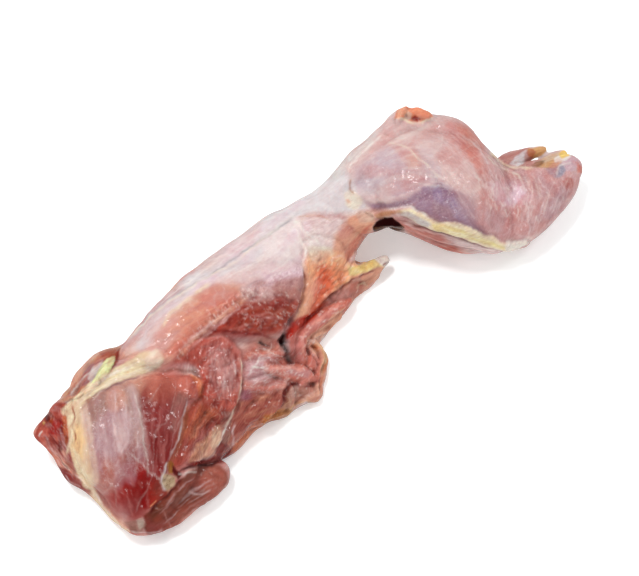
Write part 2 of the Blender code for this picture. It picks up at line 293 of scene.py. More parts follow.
# Areas of one colour: name, colour, strength, edge px, outline
AREAS = [
    # hind legs
    ("hip", BLUSH, 1.0, 8, [(330, 172), (345, 160), (362, 146), (385, 122), (398, 117), (418, 121),
        (434, 115), (452, 117), (470, 128), (484, 150), (488, 175), (480, 215), (460, 222), (430, 212),
        (400, 206), (370, 206), (350, 195), (345, 180)]),
    ("hip_grey_edge", MIST, 0.9, 5, [(318, 178), (345, 158), (362, 145), (374, 132), (380, 130), (366, 148),
        (350, 163), (334, 176)]),
    ("thigh_dusk", HEATHER, 0.7, 8, [(356, 170), (376, 154), (396, 150), (400, 160), (380, 163),
        (362, 175)]),
    ("thigh_lavender", LAVENDER, 0.9, 9, [(352, 182), (362, 166), (378, 158), (394, 160), (396, 172),
        (386, 184), (368, 190), (356, 190)]),
    ("thigh_pink", HEATHER, 0.8, 9, [(398, 150), (415, 152), (426, 166), (432, 180), (415, 192), (394, 190),
        (390, 172)]),
    ("thigh_salmon", SALMON, 0.6, 6, [(405, 156), (416, 154), (420, 166), (410, 168)]),
    ("thigh_red", CORAL, 0.35, 5, [(396, 190), (405, 186), (410, 192), (400, 196)]),
    ("thigh_low", SILVER, 0.6, 6, [(362, 190), (380, 192), (395, 197), (380, 202), (364, 200)]),
    # Painted shade: a dark strip under the thigh along the seam
    ("thigh_under", VIOLET, 0.8, 4, [(364, 203), (386, 203), (408, 198), (426, 188), (432, 186), (424, 197),
        (412, 205), (395, 208), (376, 209)]),
    ("thigh_shadow", VIOLET, 0.45, 8, [(392, 192), (408, 182), (426, 178), (436, 184), (426, 192),
        (408, 198), (392, 200)]),
    ("seam_grey", HEATHER, 0.6, 4, [(412, 204), (424, 192), (430, 190), (432, 205), (430, 216), (418, 211)]),
    ("violet", VIOLET, 0.85, 6, [(426, 186), (440, 182), (455, 192), (470, 208), (482, 226), (488, 236),
        (470, 229), (455, 223), (440, 224), (426, 216), (414, 208), (418, 196)]),
    ("purple", PURPLE, 0.65, 5, [(432, 186), (444, 184), (458, 198), (454, 208), (440, 204), (434, 196)]),
    ("violet_brown", PLUM, 0.5, 5, [(432, 205), (446, 204), (452, 214), (446, 223), (433, 219)]),
    ("ham_violet", MAUVE, 0.75, 7, [(450, 190), (464, 192), (480, 206), (490, 222), (490, 238), (476, 230),
        (464, 212)]),
    ("thigh_rose", ROSE, 0.85, 8, [(446, 120), (466, 123), (480, 138), (488, 156), (472, 154), (456, 146),
        (444, 132)]),
    ("thigh_rose_deep", TERRA, 0.5, 6, [(458, 124), (470, 130), (480, 142), (482, 150), (470, 146),
        (460, 136)]),
    ("ham_red", CORAL, 0.7, 5, [(462, 142), (477, 152), (489, 170), (493, 186), (484, 180), (473, 166),
        (462, 154)]),
    # Painted sheen on the ham
    ("ham_pale", BLUSH, 0.8, 7, [(452, 158), (466, 165), (476, 178), (470, 186), (456, 178)]),
    ("shank", PINK, 1.0, 6, [(486, 152), (505, 166), (530, 167), (548, 166), (560, 160), (572, 156),
        (582, 160), (584, 174), (578, 190), (566, 207), (550, 224), (535, 236), (528, 243), (505, 241),
        (485, 232), (478, 215), (484, 190)]),
    ("shank_rose_left", ROSE, 0.5, 7, [(478, 190), (492, 195), (498, 214), (490, 230), (478, 222)]),
    ("knee_mauve", HEATHER, 0.6, 8, [(484, 208), (500, 212), (514, 226), (505, 238), (490, 233),
        (480, 224)]),
    # Painted sheen on the shank
    ("shank_painted_sheen", ORCHID, 0.9, 7, [(492, 184), (512, 180), (530, 188), (526, 202), (508, 206),
        (496, 200)]),
    ("shank_salmon", BRICK, 0.45, 5, [(504, 172), (522, 174), (542, 188), (534, 194), (514, 184)]),
    ("shank_mauve", MAUVE, 0.6, 8, [(536, 174), (554, 182), (566, 190), (562, 208), (548, 222), (540, 214),
        (546, 196)]),
    ("shank_low", ROSE, 0.4, 8, [(508, 206), (522, 210), (526, 228), (512, 238), (502, 226)]),
    ("hock_grey", LILAC, 0.8, 4, [(556, 162), (572, 156), (580, 160), (576, 170), (562, 170)]),
    ("hock_blue", STEEL, 0.95, 3, [(547, 167), (560, 164), (566, 170), (560, 178), (549, 175)]),
    ("hock_red", BRICK, 0.7, 3, [(563, 181), (570, 177), (574, 184), (567, 190)]),
    ("hock_red_tip", CORAL, 0.8, 2.5, [(577, 162), (582, 166), (583, 174), (578, 173)]),
    ("far_calf", DUSK, 0.9, 3, [(496, 156), (510, 153), (520, 149), (530, 147), (533, 160), (528, 168),
        (505, 164)]),
    ("far_tendon", SILVER, 0.9, 2.5, [(509, 164), (518, 155), (527, 149), (530, 153), (523, 164),
        (517, 167)]),
    ("far_brown", DUSK, 0.7, 2.5, [(524, 152), (531, 150), (532, 162), (526, 166)]),
    ("amber_tip", AMBER, 1.0, 2, [(527, 149), (540, 146), (549, 149), (544, 154), (532, 159)]),
    ("amber_base", RUST, 0.8, 2, [(526, 150), (533, 148), (536, 153), (532, 159), (527, 156)]),
    ("bone", AMBER, 0.9, 2.5, [(530, 166), (545, 158), (556, 154), (563, 160), (556, 167), (540, 168)]),
    ("bone_shade", BEIGE, 0.8, 2, [(540, 160), (548, 155), (560, 151), (561, 155), (550, 160), (542, 163)]),
    ("bone_dark", UMBER, 0.7, 2, [(530, 166), (538, 161), (545, 160), (542, 165), (534, 168)]),
    ("yellow_white", PEARL, 0.8, 2, [(554, 158), (560, 154), (572, 150), (570, 158), (562, 162),
        (555, 163)]),
    ("yellow_tip", YELLOW, 0.9, 2, [(559, 154), (566, 148), (572, 149), (569, 156), (562, 159)]),
    ("far_thigh", CORAL, 0.75, 4, [(398, 220), (415, 227), (430, 231), (455, 237), (480, 245), (505, 251),
        (500, 256), (478, 257), (460, 254), (440, 249), (420, 240), (404, 231)]),
    ("far_thigh_pale", FASCIA, 0.7, 5, [(440, 234), (470, 240), (505, 250), (504, 257), (480, 257),
        (456, 246)]),
    ("seam", CREAM, 0.88, 2, [(398, 211), (410, 208), (418, 211), (428, 217), (434, 220), (441, 224),
        (448, 222), (455, 221), (463, 225), (470, 226), (477, 231), (486, 234), (493, 236), (501, 241),
        (512, 242), (528, 240), (518, 248), (506, 251), (490, 247), (470, 241), (450, 234), (430, 229),
        (418, 223), (404, 215)]),
    ("seam_yellow", BUTTER, 0.8, 3, [(432, 222), (448, 225), (462, 228), (480, 236), (500, 244), (508, 249),
        (490, 244), (468, 237), (448, 231), (434, 228)]),
    ("seam_stone", DOVE, 0.85, 3, [(396, 213), (408, 211), (422, 217), (432, 223), (428, 227), (414, 220),
        (402, 215)]),
    ("seam_end", PEARL, 0.8, 3, [(506, 240), (520, 240), (534, 236), (528, 243), (514, 250), (504, 250)]),
    ("seam_start", OCHRE, 0.55, 2, [(374, 214), (384, 211), (400, 210), (406, 212), (396, 214), (388, 216),
        (378, 219)]),
    # tail
    ("tail", CARROT, 0.8, 3, [(394, 118), (398, 108), (404, 104), (410, 107), (420, 106), (431, 112),
        (434, 117), (426, 119), (418, 123), (406, 119)]),
    ("tail_salmon", PEACH, 0.8, 2, [(396, 117), (399, 109), (404, 105), (408, 109), (403, 116)]),
    ("tail_white", NUDE, 0.8, 2, [(404, 116), (408, 110), (411, 113), (411, 119), (405, 120)]),
    # Painted shade in the tail's hole
    ("tail_hole", CHERRY, 0.9, 2, [(411, 118), (415, 115), (421, 119), (417, 122)]),
    # waist and loin
    ("waist", SILVER, 1.0, 6, [(286, 206), (310, 188), (330, 173), (345, 170), (353, 184), (362, 200),
        (368, 208), (352, 213), (330, 214), (312, 214), (296, 217)]),
    ("waist_edge", FOG, 0.8, 5, [(280, 208), (310, 186), (335, 170), (346, 172), (330, 184), (306, 202),
        (290, 214)]),
    ("waist_cream", CREAM, 0.5, 4, [(344, 194), (352, 190), (362, 200), (358, 209), (347, 207)]),
    ("waist_dot", PEACH, 0.6, 2, [(345, 200), (349, 199), (351, 202), (348, 204)]),
    ("flank", PEACH, 0.9, 4, [(328, 228), (346, 220), (360, 214), (374, 218), (373, 228), (362, 243),
        (352, 256), (345, 264), (334, 260), (324, 250), (322, 236)]),
    ("flank_white", FASCIA, 0.85, 6, [(302, 220), (320, 218), (338, 220), (342, 228), (334, 238), (330, 250),
        (316, 252), (306, 250), (302, 236)]),
    ("flank_stain", SALMON, 0.5, 5, [(338, 232), (350, 230), (356, 236), (350, 246), (342, 256), (334, 252),
        (334, 242)]),
    ("flank_stain_red", ROSE, 0.5, 4, [(340, 226), (350, 224), (356, 228), (346, 238), (338, 236)]),
    ("flank_peach", NUDE, 0.7, 3, [(354, 212), (362, 210), (374, 214), (374, 221), (360, 222)]),
    ("flank_edge", CORAL, 0.8, 4, [(372, 224), (366, 238), (354, 252), (346, 264), (340, 260), (350, 246),
        (360, 232)]),
    ("flank_lilac", SHELL, 0.9, 5, [(304, 216), (332, 217), (346, 221), (338, 229), (322, 232), (308, 226)]),
    ("loin", FASCIA, 1.0, 8, [(258, 228), (285, 211), (298, 215), (304, 232), (302, 252), (299, 262),
        (284, 268), (262, 262), (246, 252)]),
    ("loin_shell", SHELL, 0.9, 9, [(222, 268), (246, 254), (268, 258), (286, 266), (301, 262), (301, 278),
        (280, 282), (252, 284), (228, 290), (212, 284)]),
    ("loin_lilac", ORCHID, 0.7, 7, [(262, 276), (284, 274), (300, 268), (301, 284), (286, 290), (266, 290)]),
    # Pale fascia along the back's edge, partly painted highlight
    ("back_edge", SILVER, 1.0, 6, [(322, 174), (296, 192), (266, 214), (244, 232), (222, 248), (200, 266),
        (180, 284), (188, 290), (205, 280), (228, 261), (255, 243), (280, 226), (304, 208), (330, 184)]),
    ("back_pink", BLUSH, 0.9, 6, [(196, 268), (222, 247), (246, 232), (262, 224), (250, 244), (228, 260),
        (208, 274)]),
    # A pale band of fascia and painted highlight
    ("loin_band", SILVER, 0.85, 6, [(136, 352), (144, 336), (160, 314), (178, 294), (196, 280), (216, 266),
        (240, 254), (262, 246), (256, 262), (230, 274), (206, 288), (184, 308), (164, 330), (150, 352)]),
    # upper chest
    ("chest_top", SALMON, 1.0, 8, [(146, 362), (152, 344), (168, 322), (188, 304), (206, 292), (235, 286),
        (240, 304), (218, 318), (200, 332), (184, 348), (168, 362)]),
    ("chest_rose", HEATHER, 0.7, 6, [(184, 284), (164, 300), (146, 318), (130, 338), (120, 352), (130, 352),
        (146, 334), (162, 316), (182, 298)]),
    ("chest_beige", PINK, 0.6, 8, [(148, 340), (162, 322), (180, 320), (178, 338), (164, 356), (148, 360)]),
    ("chest_peach", ROSE, 0.6, 7, [(198, 296), (220, 290), (238, 294), (230, 306), (208, 312)]),
    ("side_red", BRICK, 1.0, 6, [(238, 306), (252, 298), (276, 296), (296, 288), (300, 300), (294, 318),
        (283, 331), (262, 336), (236, 336), (206, 333), (216, 322)]),
    ("side_deep", RUSSET, 0.55, 7, [(228, 318), (250, 310), (284, 306), (290, 314), (270, 330), (240, 330)]),
    ("side_light", BLUSH, 0.6, 5, [(240, 288), (256, 284), (276, 286), (278, 296), (262, 302), (244, 300)]),
    ("side_grey", DUSK, 0.8, 5, [(272, 282), (300, 277), (302, 290), (296, 302), (280, 300), (268, 292)]),
    ("slope_rose", BRICK, 0.75, 6, [(172, 364), (180, 346), (196, 328), (214, 314), (240, 300), (246, 304),
        (240, 318), (222, 330), (206, 340), (192, 348), (182, 362)]),
    ("slope_coral", CORAL, 0.6, 5, [(168, 352), (180, 334), (196, 318), (214, 306), (236, 296), (240, 302),
        (218, 314), (200, 328), (184, 344), (174, 358)]),
    ("chest_lobe", FLESH, 1.0, 5, [(176, 362), (190, 343), (222, 335), (238, 346), (243, 365), (241, 390),
        (234, 412), (220, 426), (202, 414), (196, 395), (199, 374), (190, 364)]),
    ("lobe_light", BLUSH, 0.3, 7, [(208, 352), (226, 348), (236, 362), (235, 386), (222, 396), (210, 384)]),
    ("lobe_mauve", ROSE, 0.5, 6, [(205, 344), (222, 342), (226, 352), (210, 356)]),
    ("lobe_red", RED, 0.5, 5, [(199, 372), (208, 376), (210, 396), (203, 402)]),
    ("crease_shade", CRIMSON, 0.6, 5, [(205, 330), (240, 333), (268, 336), (284, 334), (282, 344),
        (262, 346), (240, 345), (225, 337)]),
    ("ribs", CORAL, 0.9, 8, [(241, 350), (262, 342), (282, 344), (290, 364), (286, 386), (262, 396),
        (245, 398), (241, 376)]),
    ("ribs_pink", LILAC, 0.55, 6, [(244, 362), (262, 356), (278, 362), (276, 374), (260, 382), (246, 380)]),
    ("ribs_wine", CHERRY, 0.5, 6, [(242, 384), (258, 386), (256, 398), (242, 402)]),
    ("slit_tan", TAUPE, 0.6, 4, [(256, 338), (268, 338), (276, 346), (268, 351), (258, 348)]),
    ("chest_low", CLAY, 1.0, 5, [(236, 402), (262, 392), (284, 390), (286, 408), (264, 422), (242, 444),
        (222, 458), (226, 430)]),
    ("chest_spot", PURPLE, 0.35, 4, [(240, 391), (250, 390), (251, 398), (242, 400)]),
    ("edge_orange", TERRA, 0.8, 3, [(266, 414), (288, 410), (272, 422), (252, 434), (238, 449), (226, 460),
        (220, 454), (240, 436), (256, 422)]),
    ("fibres", BRICK, 1.0, 5, [(200, 396), (230, 410), (220, 426), (200, 440), (188, 458), (176, 468),
        (170, 466), (180, 440), (186, 412)]),
    ("fibres_red", TERRA, 0.6, 5, [(200, 404), (216, 410), (206, 424), (192, 440), (186, 430)]),
    ("fat_patch", PEACH, 0.8, 3, [(198, 457), (202, 445), (208, 433), (216, 426), (222, 424), (222, 436),
        (215, 450), (206, 458)]),
    ("fat_patch_pink", TAN, 0.75, 3, [(188, 463), (193, 450), (200, 441), (207, 434), (205, 446),
        (199, 458)]),
    ("fat_patch_edge", BEIGE, 0.7, 2.5, [(212, 430), (220, 425), (221, 437), (214, 449), (210, 446)]),
    ("fat_red", GARNET, 0.85, 3, [(221, 440), (228, 428), (232, 432), (230, 446), (220, 456), (206, 462),
        (192, 466), (190, 462), (206, 459), (216, 450)]),
    ("pocket", TAUPE, 0.8, 3, [(221, 410), (231, 412), (230, 440), (222, 442)]),
    ("pocket_orange", CLAY, 0.8, 3, [(236, 408), (262, 402), (252, 424), (236, 442), (228, 450),
        (232, 430)]),
    ("pocket_red", GARNET, 0.9, 4, [(186, 464), (204, 460), (222, 454), (232, 444), (230, 456), (222, 464),
        (206, 466), (190, 468)]),
    # near shoulder and foreleg
    ("shoulder", WINE, 1.0, 3, [(124, 386), (150, 376), (180, 375), (196, 377), (201, 384), (200, 394),
        (186, 403), (183, 420), (178, 445), (168, 464), (164, 485), (168, 496), (150, 508), (140, 500),
        (140, 460), (134, 420)]),
    ("shoulder_top", SALMON, 0.8, 8, [(106, 394), (120, 384), (134, 378), (150, 376), (158, 380), (146, 388),
        (134, 398), (118, 404), (106, 402)]),
    ("shoulder_top_right", CORAL, 0.8, 8, [(146, 380), (160, 374), (182, 375), (196, 378), (198, 390),
        (190, 398), (176, 394), (164, 396), (150, 396)]),
    ("shoulder_red", CLAY, 0.6, 9, [(146, 384), (166, 380), (176, 390), (168, 404), (152, 404), (144, 396)]),
    ("shoulder_side", TAUPE, 0.55, 5, [(178, 394), (190, 396), (186, 404), (182, 420), (176, 434),
        (168, 436), (170, 414), (174, 400)]),
    ("shoulder_band", WINE, 0.55, 5, [(143, 434), (158, 424), (172, 412), (180, 404), (184, 412), (170, 426),
        (154, 438), (145, 444)]),
    ("shoulder_deep", GARNET, 0.75, 7, [(142, 442), (166, 430), (178, 436), (170, 458), (160, 474),
        (150, 478), (144, 462)]),
    ("shoulder_brown", RUST, 0.6, 4, [(178, 430), (184, 408), (188, 404), (188, 424), (182, 446), (172, 462),
        (168, 460)]),
    ("shoulder_corner", ORANGE, 0.5, 2.5, [(190, 375), (197, 376), (202, 382), (202, 396), (198, 397),
        (196, 386)]),
    ("shoulder_left", TAUPE, 0.9, 6, [(80, 416), (88, 402), (104, 391), (124, 385), (136, 392), (141, 420),
        (144, 450), (148, 474), (136, 492), (120, 500), (102, 498), (86, 476), (80, 446)]),
    ("shoulder_pale", HEATHER, 0.75, 8, [(100, 416), (116, 408), (128, 414), (132, 436), (128, 452),
        (112, 460), (100, 456), (94, 436)]),
    ("shoulder_fascia", BLUSH, 0.6, 5, [(112, 422), (120, 412), (128, 416), (128, 434), (120, 446),
        (114, 440)]),
    ("shoulder_mauve", TAUPE, 0.7, 6, [(86, 406), (98, 396), (112, 390), (112, 400), (104, 412), (92, 420),
        (86, 418)]),
    ("shoulder_salmon", SALMON, 0.7, 5, [(108, 392), (118, 388), (126, 394), (124, 408), (112, 412),
        (106, 404)]),
    ("shoulder_sheet", BLUSH, 0.5, 5, [(126, 388), (134, 386), (138, 404), (144, 430), (150, 456),
        (156, 476), (150, 478), (142, 462), (136, 438), (130, 412)]),
    ("arm_brown", CRIMSON, 0.65, 8, [(126, 448), (142, 444), (147, 470), (136, 484), (120, 486),
        (118, 470)]),
    ("shoulder_deep_left", FLESH, 0.6, 8, [(96, 452), (110, 458), (122, 456), (120, 476), (108, 484),
        (98, 474)]),
    ("elbow_pink", DUSK, 0.9, 6, [(92, 480), (110, 478), (124, 476), (118, 494), (124, 516), (112, 512),
        (100, 498)]),
    ("elbow", CHERRY, 0.85, 13, [(108, 494), (118, 480), (130, 464), (148, 462), (160, 478), (168, 492),
        (158, 502), (148, 514), (134, 522), (118, 508)]),
    ("elbow_crimson", GARNET, 0.55, 8, [(126, 500), (132, 484), (146, 472), (152, 490), (148, 504),
        (136, 514), (128, 510)]),
    ("elbow_scarlet", RED, 0.55, 5, [(148, 484), (160, 480), (168, 492), (160, 501), (150, 504)]),
    ("arm_brown_low", COCOA, 0.5, 5, [(152, 478), (162, 478), (169, 492), (162, 500), (154, 494)]),
    ("forearm", LIVER, 0.9, 3, [(144, 514), (158, 504), (170, 492), (180, 480), (192, 470), (206, 466),
        (220, 466), (228, 476), (224, 488), (206, 504), (188, 514), (172, 530), (160, 537), (146, 532)]),
    ("forearm_end", CLAY, 0.85, 8, [(198, 470), (216, 464), (228, 474), (224, 488), (210, 494), (200, 486)]),
    ("forearm_low", WINE, 0.6, 7, [(146, 516), (160, 506), (174, 504), (172, 520), (160, 534), (146, 530)]),
    ("forearm_joint", SEPIA, 0.7, 5, [(148, 512), (158, 502), (172, 500), (174, 510), (164, 520),
        (152, 522)]),
    ("forearm_pink", CLAY, 0.5, 6, [(166, 524), (184, 508), (206, 494), (222, 484), (216, 496), (196, 510),
        (176, 526), (160, 536)]),
    ("cartilage", TAUPE, 0.85, 3, [(126, 522), (134, 519), (142, 518), (146, 524), (142, 531), (132, 531)]),
    ("cartilage_dark", SEPIA, 0.3, 2, [(130, 525), (137, 524), (138, 530), (131, 531)]),
    ("cartilage_cream", STONE, 0.35, 2, [(137, 518), (143, 516), (144, 525), (140, 528)]),
    ("front_rim", CREAM, 0.7, 4, [(86, 476), (94, 486), (106, 506), (122, 522), (130, 532), (118, 526),
        (100, 508), (88, 490)]),
    ("pit", OCHRE, 0.85, 2, [(166, 462), (171, 460), (175, 468), (173, 474), (168, 473)]),
    # Painted shade in the pit
    ("pit_dark", MAROON, 1.0, 2, [(172, 462), (177, 470), (182, 474), (178, 480), (173, 474)]),
    ("pit_fat", KHAKI, 0.85, 2, PIT),
    # neck and far foreleg
    ("neck", BRICK, 1.0, 3, [(33, 438), (46, 408), (64, 402), (70, 414), (68, 440), (70, 462), (76, 480),
        (60, 474), (42, 456)]),
    ("neck_red", FLESH, 0.8, 4, [(36, 436), (46, 424), (56, 410), (66, 406), (68, 430), (58, 442),
        (46, 444)]),
    ("neck_pink", SALMON, 0.85, 3, [(52, 450), (62, 448), (70, 462), (74, 476), (64, 470), (54, 462)]),
    ("neck_centre", CHERRY, 0.8, 4, [(48, 423), (56, 418), (63, 420), (64, 430), (58, 436), (49, 434)]),
    ("neck_band", CORAL, 0.7, 4, [(40, 443), (46, 440), (56, 446), (64, 456), (74, 470), (70, 474),
        (58, 463), (48, 453)]),
    # Painted shade in a hollow and a crevice of the neck
    ("neck_hollow", MAROON, 0.75, 2.5, [(60, 425), (65, 424), (67, 430), (62, 433), (59, 431)]),
    ("neck_crevice", MAROON, 0.7, 2, [(57, 441), (61, 440), (63, 450), (60, 453), (57, 447)]),
    ("neck_under", WINE, 0.75, 3, [(57, 464), (64, 468), (74, 475), (86, 484), (93, 494), (80, 490),
        (66, 481), (59, 472)]),
    # The cavity's own brown, and painted shade in its deep middle
    ("cavity", RUSSET, 0.85, 2, [(43, 415), (50, 411), (54, 418), (51, 426), (45, 424)]),
    ("cavity_deep", SHADE_DARK, 0.9, 1.5, [(45, 416), (49, 414), (51, 420), (47, 423)]),
    ("neck_slot", TERRA, 0.8, 2, [(62, 418), (67, 416), (69, 430), (68, 446), (64, 440), (63, 428)]),
    ("neck_fat", SAND, 1.0, 3, [(66, 408), (76, 402), (84, 410), (89, 436), (93, 458), (96, 482), (86, 489),
        (76, 470), (70, 446), (68, 425)]),
    ("neck_cream", CREAM, 0.8, 3, [(65, 410), (74, 406), (77, 420), (73, 432), (69, 424)]),
    ("neck_orange", HONEY, 0.8, 5, [(76, 424), (83, 426), (86, 440), (86, 456), (78, 462), (72, 450),
        (74, 436)]),
    ("neck_low", CREAM, 0.7, 4, [(72, 446), (80, 454), (86, 470), (88, 482), (80, 478)]),
    ("neck_lilac", NUDE, 0.8, 4, [(78, 406), (86, 402), (92, 424), (97, 452), (101, 480), (96, 484),
        (90, 448), (83, 420)]),
    ("neck_strip", CRIMSON, 0.4, 2, [(56, 464), (66, 472), (80, 484), (94, 502), (88, 500), (74, 488),
        (60, 476)]),
    ("far_arm", TAN, 0.9, 3, [(60, 402), (68, 384), (80, 364), (90, 354), (104, 347), (122, 347), (116, 362),
        (100, 376), (84, 392), (72, 400)]),
    ("far_arm_rim", SALMON, 0.7, 3, [(66, 388), (76, 370), (86, 356), (98, 349), (108, 347), (104, 352),
        (92, 359), (82, 372), (72, 390)]),
    ("far_arm_rose", RUSSET, 0.8, 4, [(100, 352), (112, 349), (122, 349), (117, 358), (110, 368),
        (104, 364)]),
    ("far_arm_mauve", PLUM, 0.85, 3, [(78, 388), (84, 370), (94, 362), (104, 358), (104, 364), (96, 374),
        (88, 384)]),
    ("far_arm_low", CRIMSON, 0.6, 3, [(70, 396), (80, 380), (86, 372), (84, 384), (76, 396)]),
    # Painted shade in the gap by the far arm
    ("far_arm_gap", GARNET, 0.9, 3, [(114, 358), (121, 350), (119, 358), (113, 368), (108, 374),
        (110, 366)]),
    ("far_arm_sheet", FOG, 0.8, 2.5, [(88, 378), (93, 366), (102, 362), (106, 364), (98, 374), (92, 384)]),
    ("fat_leaf", LIME, 1.0, 2, [(90, 386), (96, 375), (102, 365), (107, 358), (115, 357), (114, 364),
        (108, 373), (101, 382), (93, 390)]),
    ("fat_lumps", CREAM, 0.9, 2, [(66, 404), (74, 397), (84, 388), (91, 382), (97, 386), (90, 395),
        (80, 402), (72, 406)]),
    ("collar", SAND, 1.0, 3, [(60, 408), (76, 398), (93, 385), (108, 372), (128, 362), (150, 354),
        (160, 356), (161, 364), (152, 371), (132, 378), (108, 387), (88, 400), (76, 413), (64, 416)]),
    ("collar_yellow", CREAM, 0.8, 5, [(92, 392), (100, 384), (112, 375), (130, 367), (146, 362), (150, 366),
        (140, 372), (122, 379), (104, 388), (94, 396)]),
    ("collar_end", IVORY, 0.9, 4, [(146, 360), (152, 354), (160, 354), (160, 366), (152, 371), (146, 372)]),
    # flap
    ("fan", PEACH, 0.95, 4, [(304, 254), (320, 250), (338, 252), (346, 262), (384, 254), (389, 260),
        (384, 270), (376, 280), (364, 290), (356, 300), (348, 306), (338, 322), (318, 340), (300, 340),
        (294, 326), (300, 302)]),
    ("fan_peach", IVORY, 0.8, 4, [(303, 248), (316, 246), (330, 248), (332, 258), (318, 262), (306, 262)]),
    ("fan_brown", PEACH, 0.7, 5, [(312, 254), (328, 252), (330, 266), (318, 270)]),
    ("fan_orange", PAPAYA, 1.0, 6, [(324, 262), (330, 254), (341, 253), (346, 264), (358, 266), (354, 276),
        (338, 290), (320, 290)]),
    ("fan_coral", APRICOT, 0.8, 10, [(308, 268), (320, 262), (334, 262), (344, 272), (338, 288), (322, 302),
        (306, 314), (306, 290)]),
    ("fan_red", TOMATO, 0.75, 8, [(312, 272), (322, 267), (331, 272), (332, 284), (326, 294), (316, 304),
        (309, 312), (309, 290)]),
    ("fan_rim", PAPAYA, 0.75, 6, [(303, 254), (311, 258), (314, 274), (312, 292), (308, 306), (302, 320),
        (295, 334), (300, 308), (305, 286)]),
    ("fan_deep", RED, 0.8, 6, [(306, 316), (314, 304), (326, 298), (334, 296), (330, 306), (318, 314),
        (304, 326), (296, 334)]),
    ("fan_deeper", VERMILION, 0.6, 4, [(310, 314), (320, 304), (328, 302), (320, 312), (308, 322),
        (300, 330)]),
    ("fan_tint", BLOOM, 0.45, 7, [(309, 280), (318, 278), (318, 292), (308, 308), (302, 316), (306, 298)]),
    ("fan_lower", DUSK, 0.8, 5, [(326, 300), (336, 291), (346, 284), (362, 275), (380, 267), (378, 276),
        (362, 290), (348, 304), (334, 312), (322, 312)]),
    ("fan_lower_pink", PEACH, 0.75, 4, [(362, 276), (381, 267), (379, 276), (368, 284), (362, 284)]),
    ("fan_lower_rust", CLAY, 0.7, 4, [(350, 284), (362, 282), (362, 292), (354, 300), (348, 296)]),
    ("fan_lower_mauve", DUSK, 0.6, 4, [(326, 300), (344, 288), (352, 294), (348, 304), (336, 306)]),
    ("strip", BUTTER, 0.85, 3, [(346, 264), (354, 267), (362, 265), (372, 260), (380, 256), (387, 254),
        (389, 260), (384, 266), (374, 269), (360, 273), (350, 276)]),
    ("strip_yellow", YELLOW, 0.45, 4, [(352, 268), (366, 264), (376, 262), (372, 268), (360, 271)]),
    ("strip_tip", PEARL, 0.95, 2.5, [(374, 260), (384, 252), (391, 257), (387, 266), (379, 265)]),
    ("tube", CORAL, 1.0, 3, [(352, 298), (338, 302), (322, 310), (306, 322), (296, 330), (291, 340),
        (291, 352), (294, 362), (306, 366), (312, 362), (311, 350), (309, 342), (316, 334), (330, 328),
        (340, 318), (350, 306)]),
    ("tube_pink", ROSE, 0.7, 4, [(292, 338), (298, 334), (300, 348), (304, 362), (295, 362), (291, 352)]),
    # Painted highlight along the tube's crest
    ("tube_light", ROSE, 0.5, 3, [(340, 305), (326, 312), (310, 322), (300, 334), (300, 348), (306, 358),
        (309, 350), (306, 340), (314, 330), (328, 322), (342, 312)]),
    ("under_lobe", PEACH, 0.9, 2.5, [(346, 306), (340, 319), (334, 328), (322, 334), (314, 337), (309, 344),
        (306, 342), (312, 334), (322, 326), (334, 314)]),
    ("curl", SALMON, 1.0, 2.5, [(305, 346), (308, 340), (316, 339), (324, 343), (329, 354), (329, 364),
        (325, 374), (323, 396), (320, 404), (312, 405), (306, 401), (299, 406), (298, 402), (306, 395),
        (314, 396), (316, 376), (320, 360), (312, 353)]),
    ("curl_orange", AMBER, 0.6, 2.5, [(320, 344), (326, 350), (329, 360), (325, 370), (322, 376), (320, 372),
        (323, 362), (322, 352)]),
    ("curl_inside", APRICOT, 0.9, 2, [(311, 345), (317, 343), (321, 348), (318, 352), (312, 349)]),
    ("bulge", CORAL, 0.8, 4, [(304, 356), (312, 354), (321, 360), (320, 374), (310, 374), (302, 366)]),
    ("cross_tube", CORAL, 0.9, 4, [(266, 360), (284, 361), (300, 362), (312, 366), (320, 374), (319, 382),
        (306, 386), (290, 384), (274, 378), (264, 372)]),
    # Painted highlight on the cross tube
    ("cross_light", HEATHER, 0.5, 4, [(282, 366), (300, 368), (312, 372), (308, 378), (292, 376)]),
    ("right_lobe", SALMON, 0.9, 3, [(298, 386), (318, 383), (323, 396), (316, 405), (307, 400), (298, 404)]),
    ("right_lobe_pink", GARNET, 0.5, 4, [(298, 385), (312, 384), (310, 392), (300, 398)]),
    ("left_lobe", TAN, 0.7, 3, [(286, 386), (297, 386), (298, 402), (294, 412), (284, 414)]),
    ("left_lobe_mauve", PLUM, 0.4, 3, [(289, 386), (297, 386), (297, 398), (290, 400)]),
    ("low_edge", OCHRE, 0.6, 3, [(264, 416), (276, 412), (288, 408), (294, 410), (288, 418), (274, 421),
        (262, 425)]),
    # Painted shade in the pit between the lobes
    ("lobe_pit", MAROON, 0.9, 2.5, [(287, 383), (298, 382), (299, 385), (291, 387), (288, 394), (285, 402),
        (283, 400), (284, 390)]),
    ("hollow", SCARLET, 1.0, 4, [(292, 322), (306, 314), (318, 312), (308, 324), (296, 334), (288, 340),
        (286, 334)]),
    # Painted shade deep in the hollow
    ("hollow_dark", GARNET, 0.6, 2.5, [(298, 325), (305, 322), (303, 327), (297, 329)]),
    # Painted shadow in the gap under the waist, with a brown lower edge
    ("waist_gap", SHADOW_BLACK, 1.0, 1.5, [(376, 222), (385, 217), (392, 217), (401, 223), (404, 228), (396, 231),
        (373, 231)]),
    ("waist_gap_low", UMBER, 0.6, 1.5, [(374, 227), (404, 226), (404, 232), (374, 232)]),
]
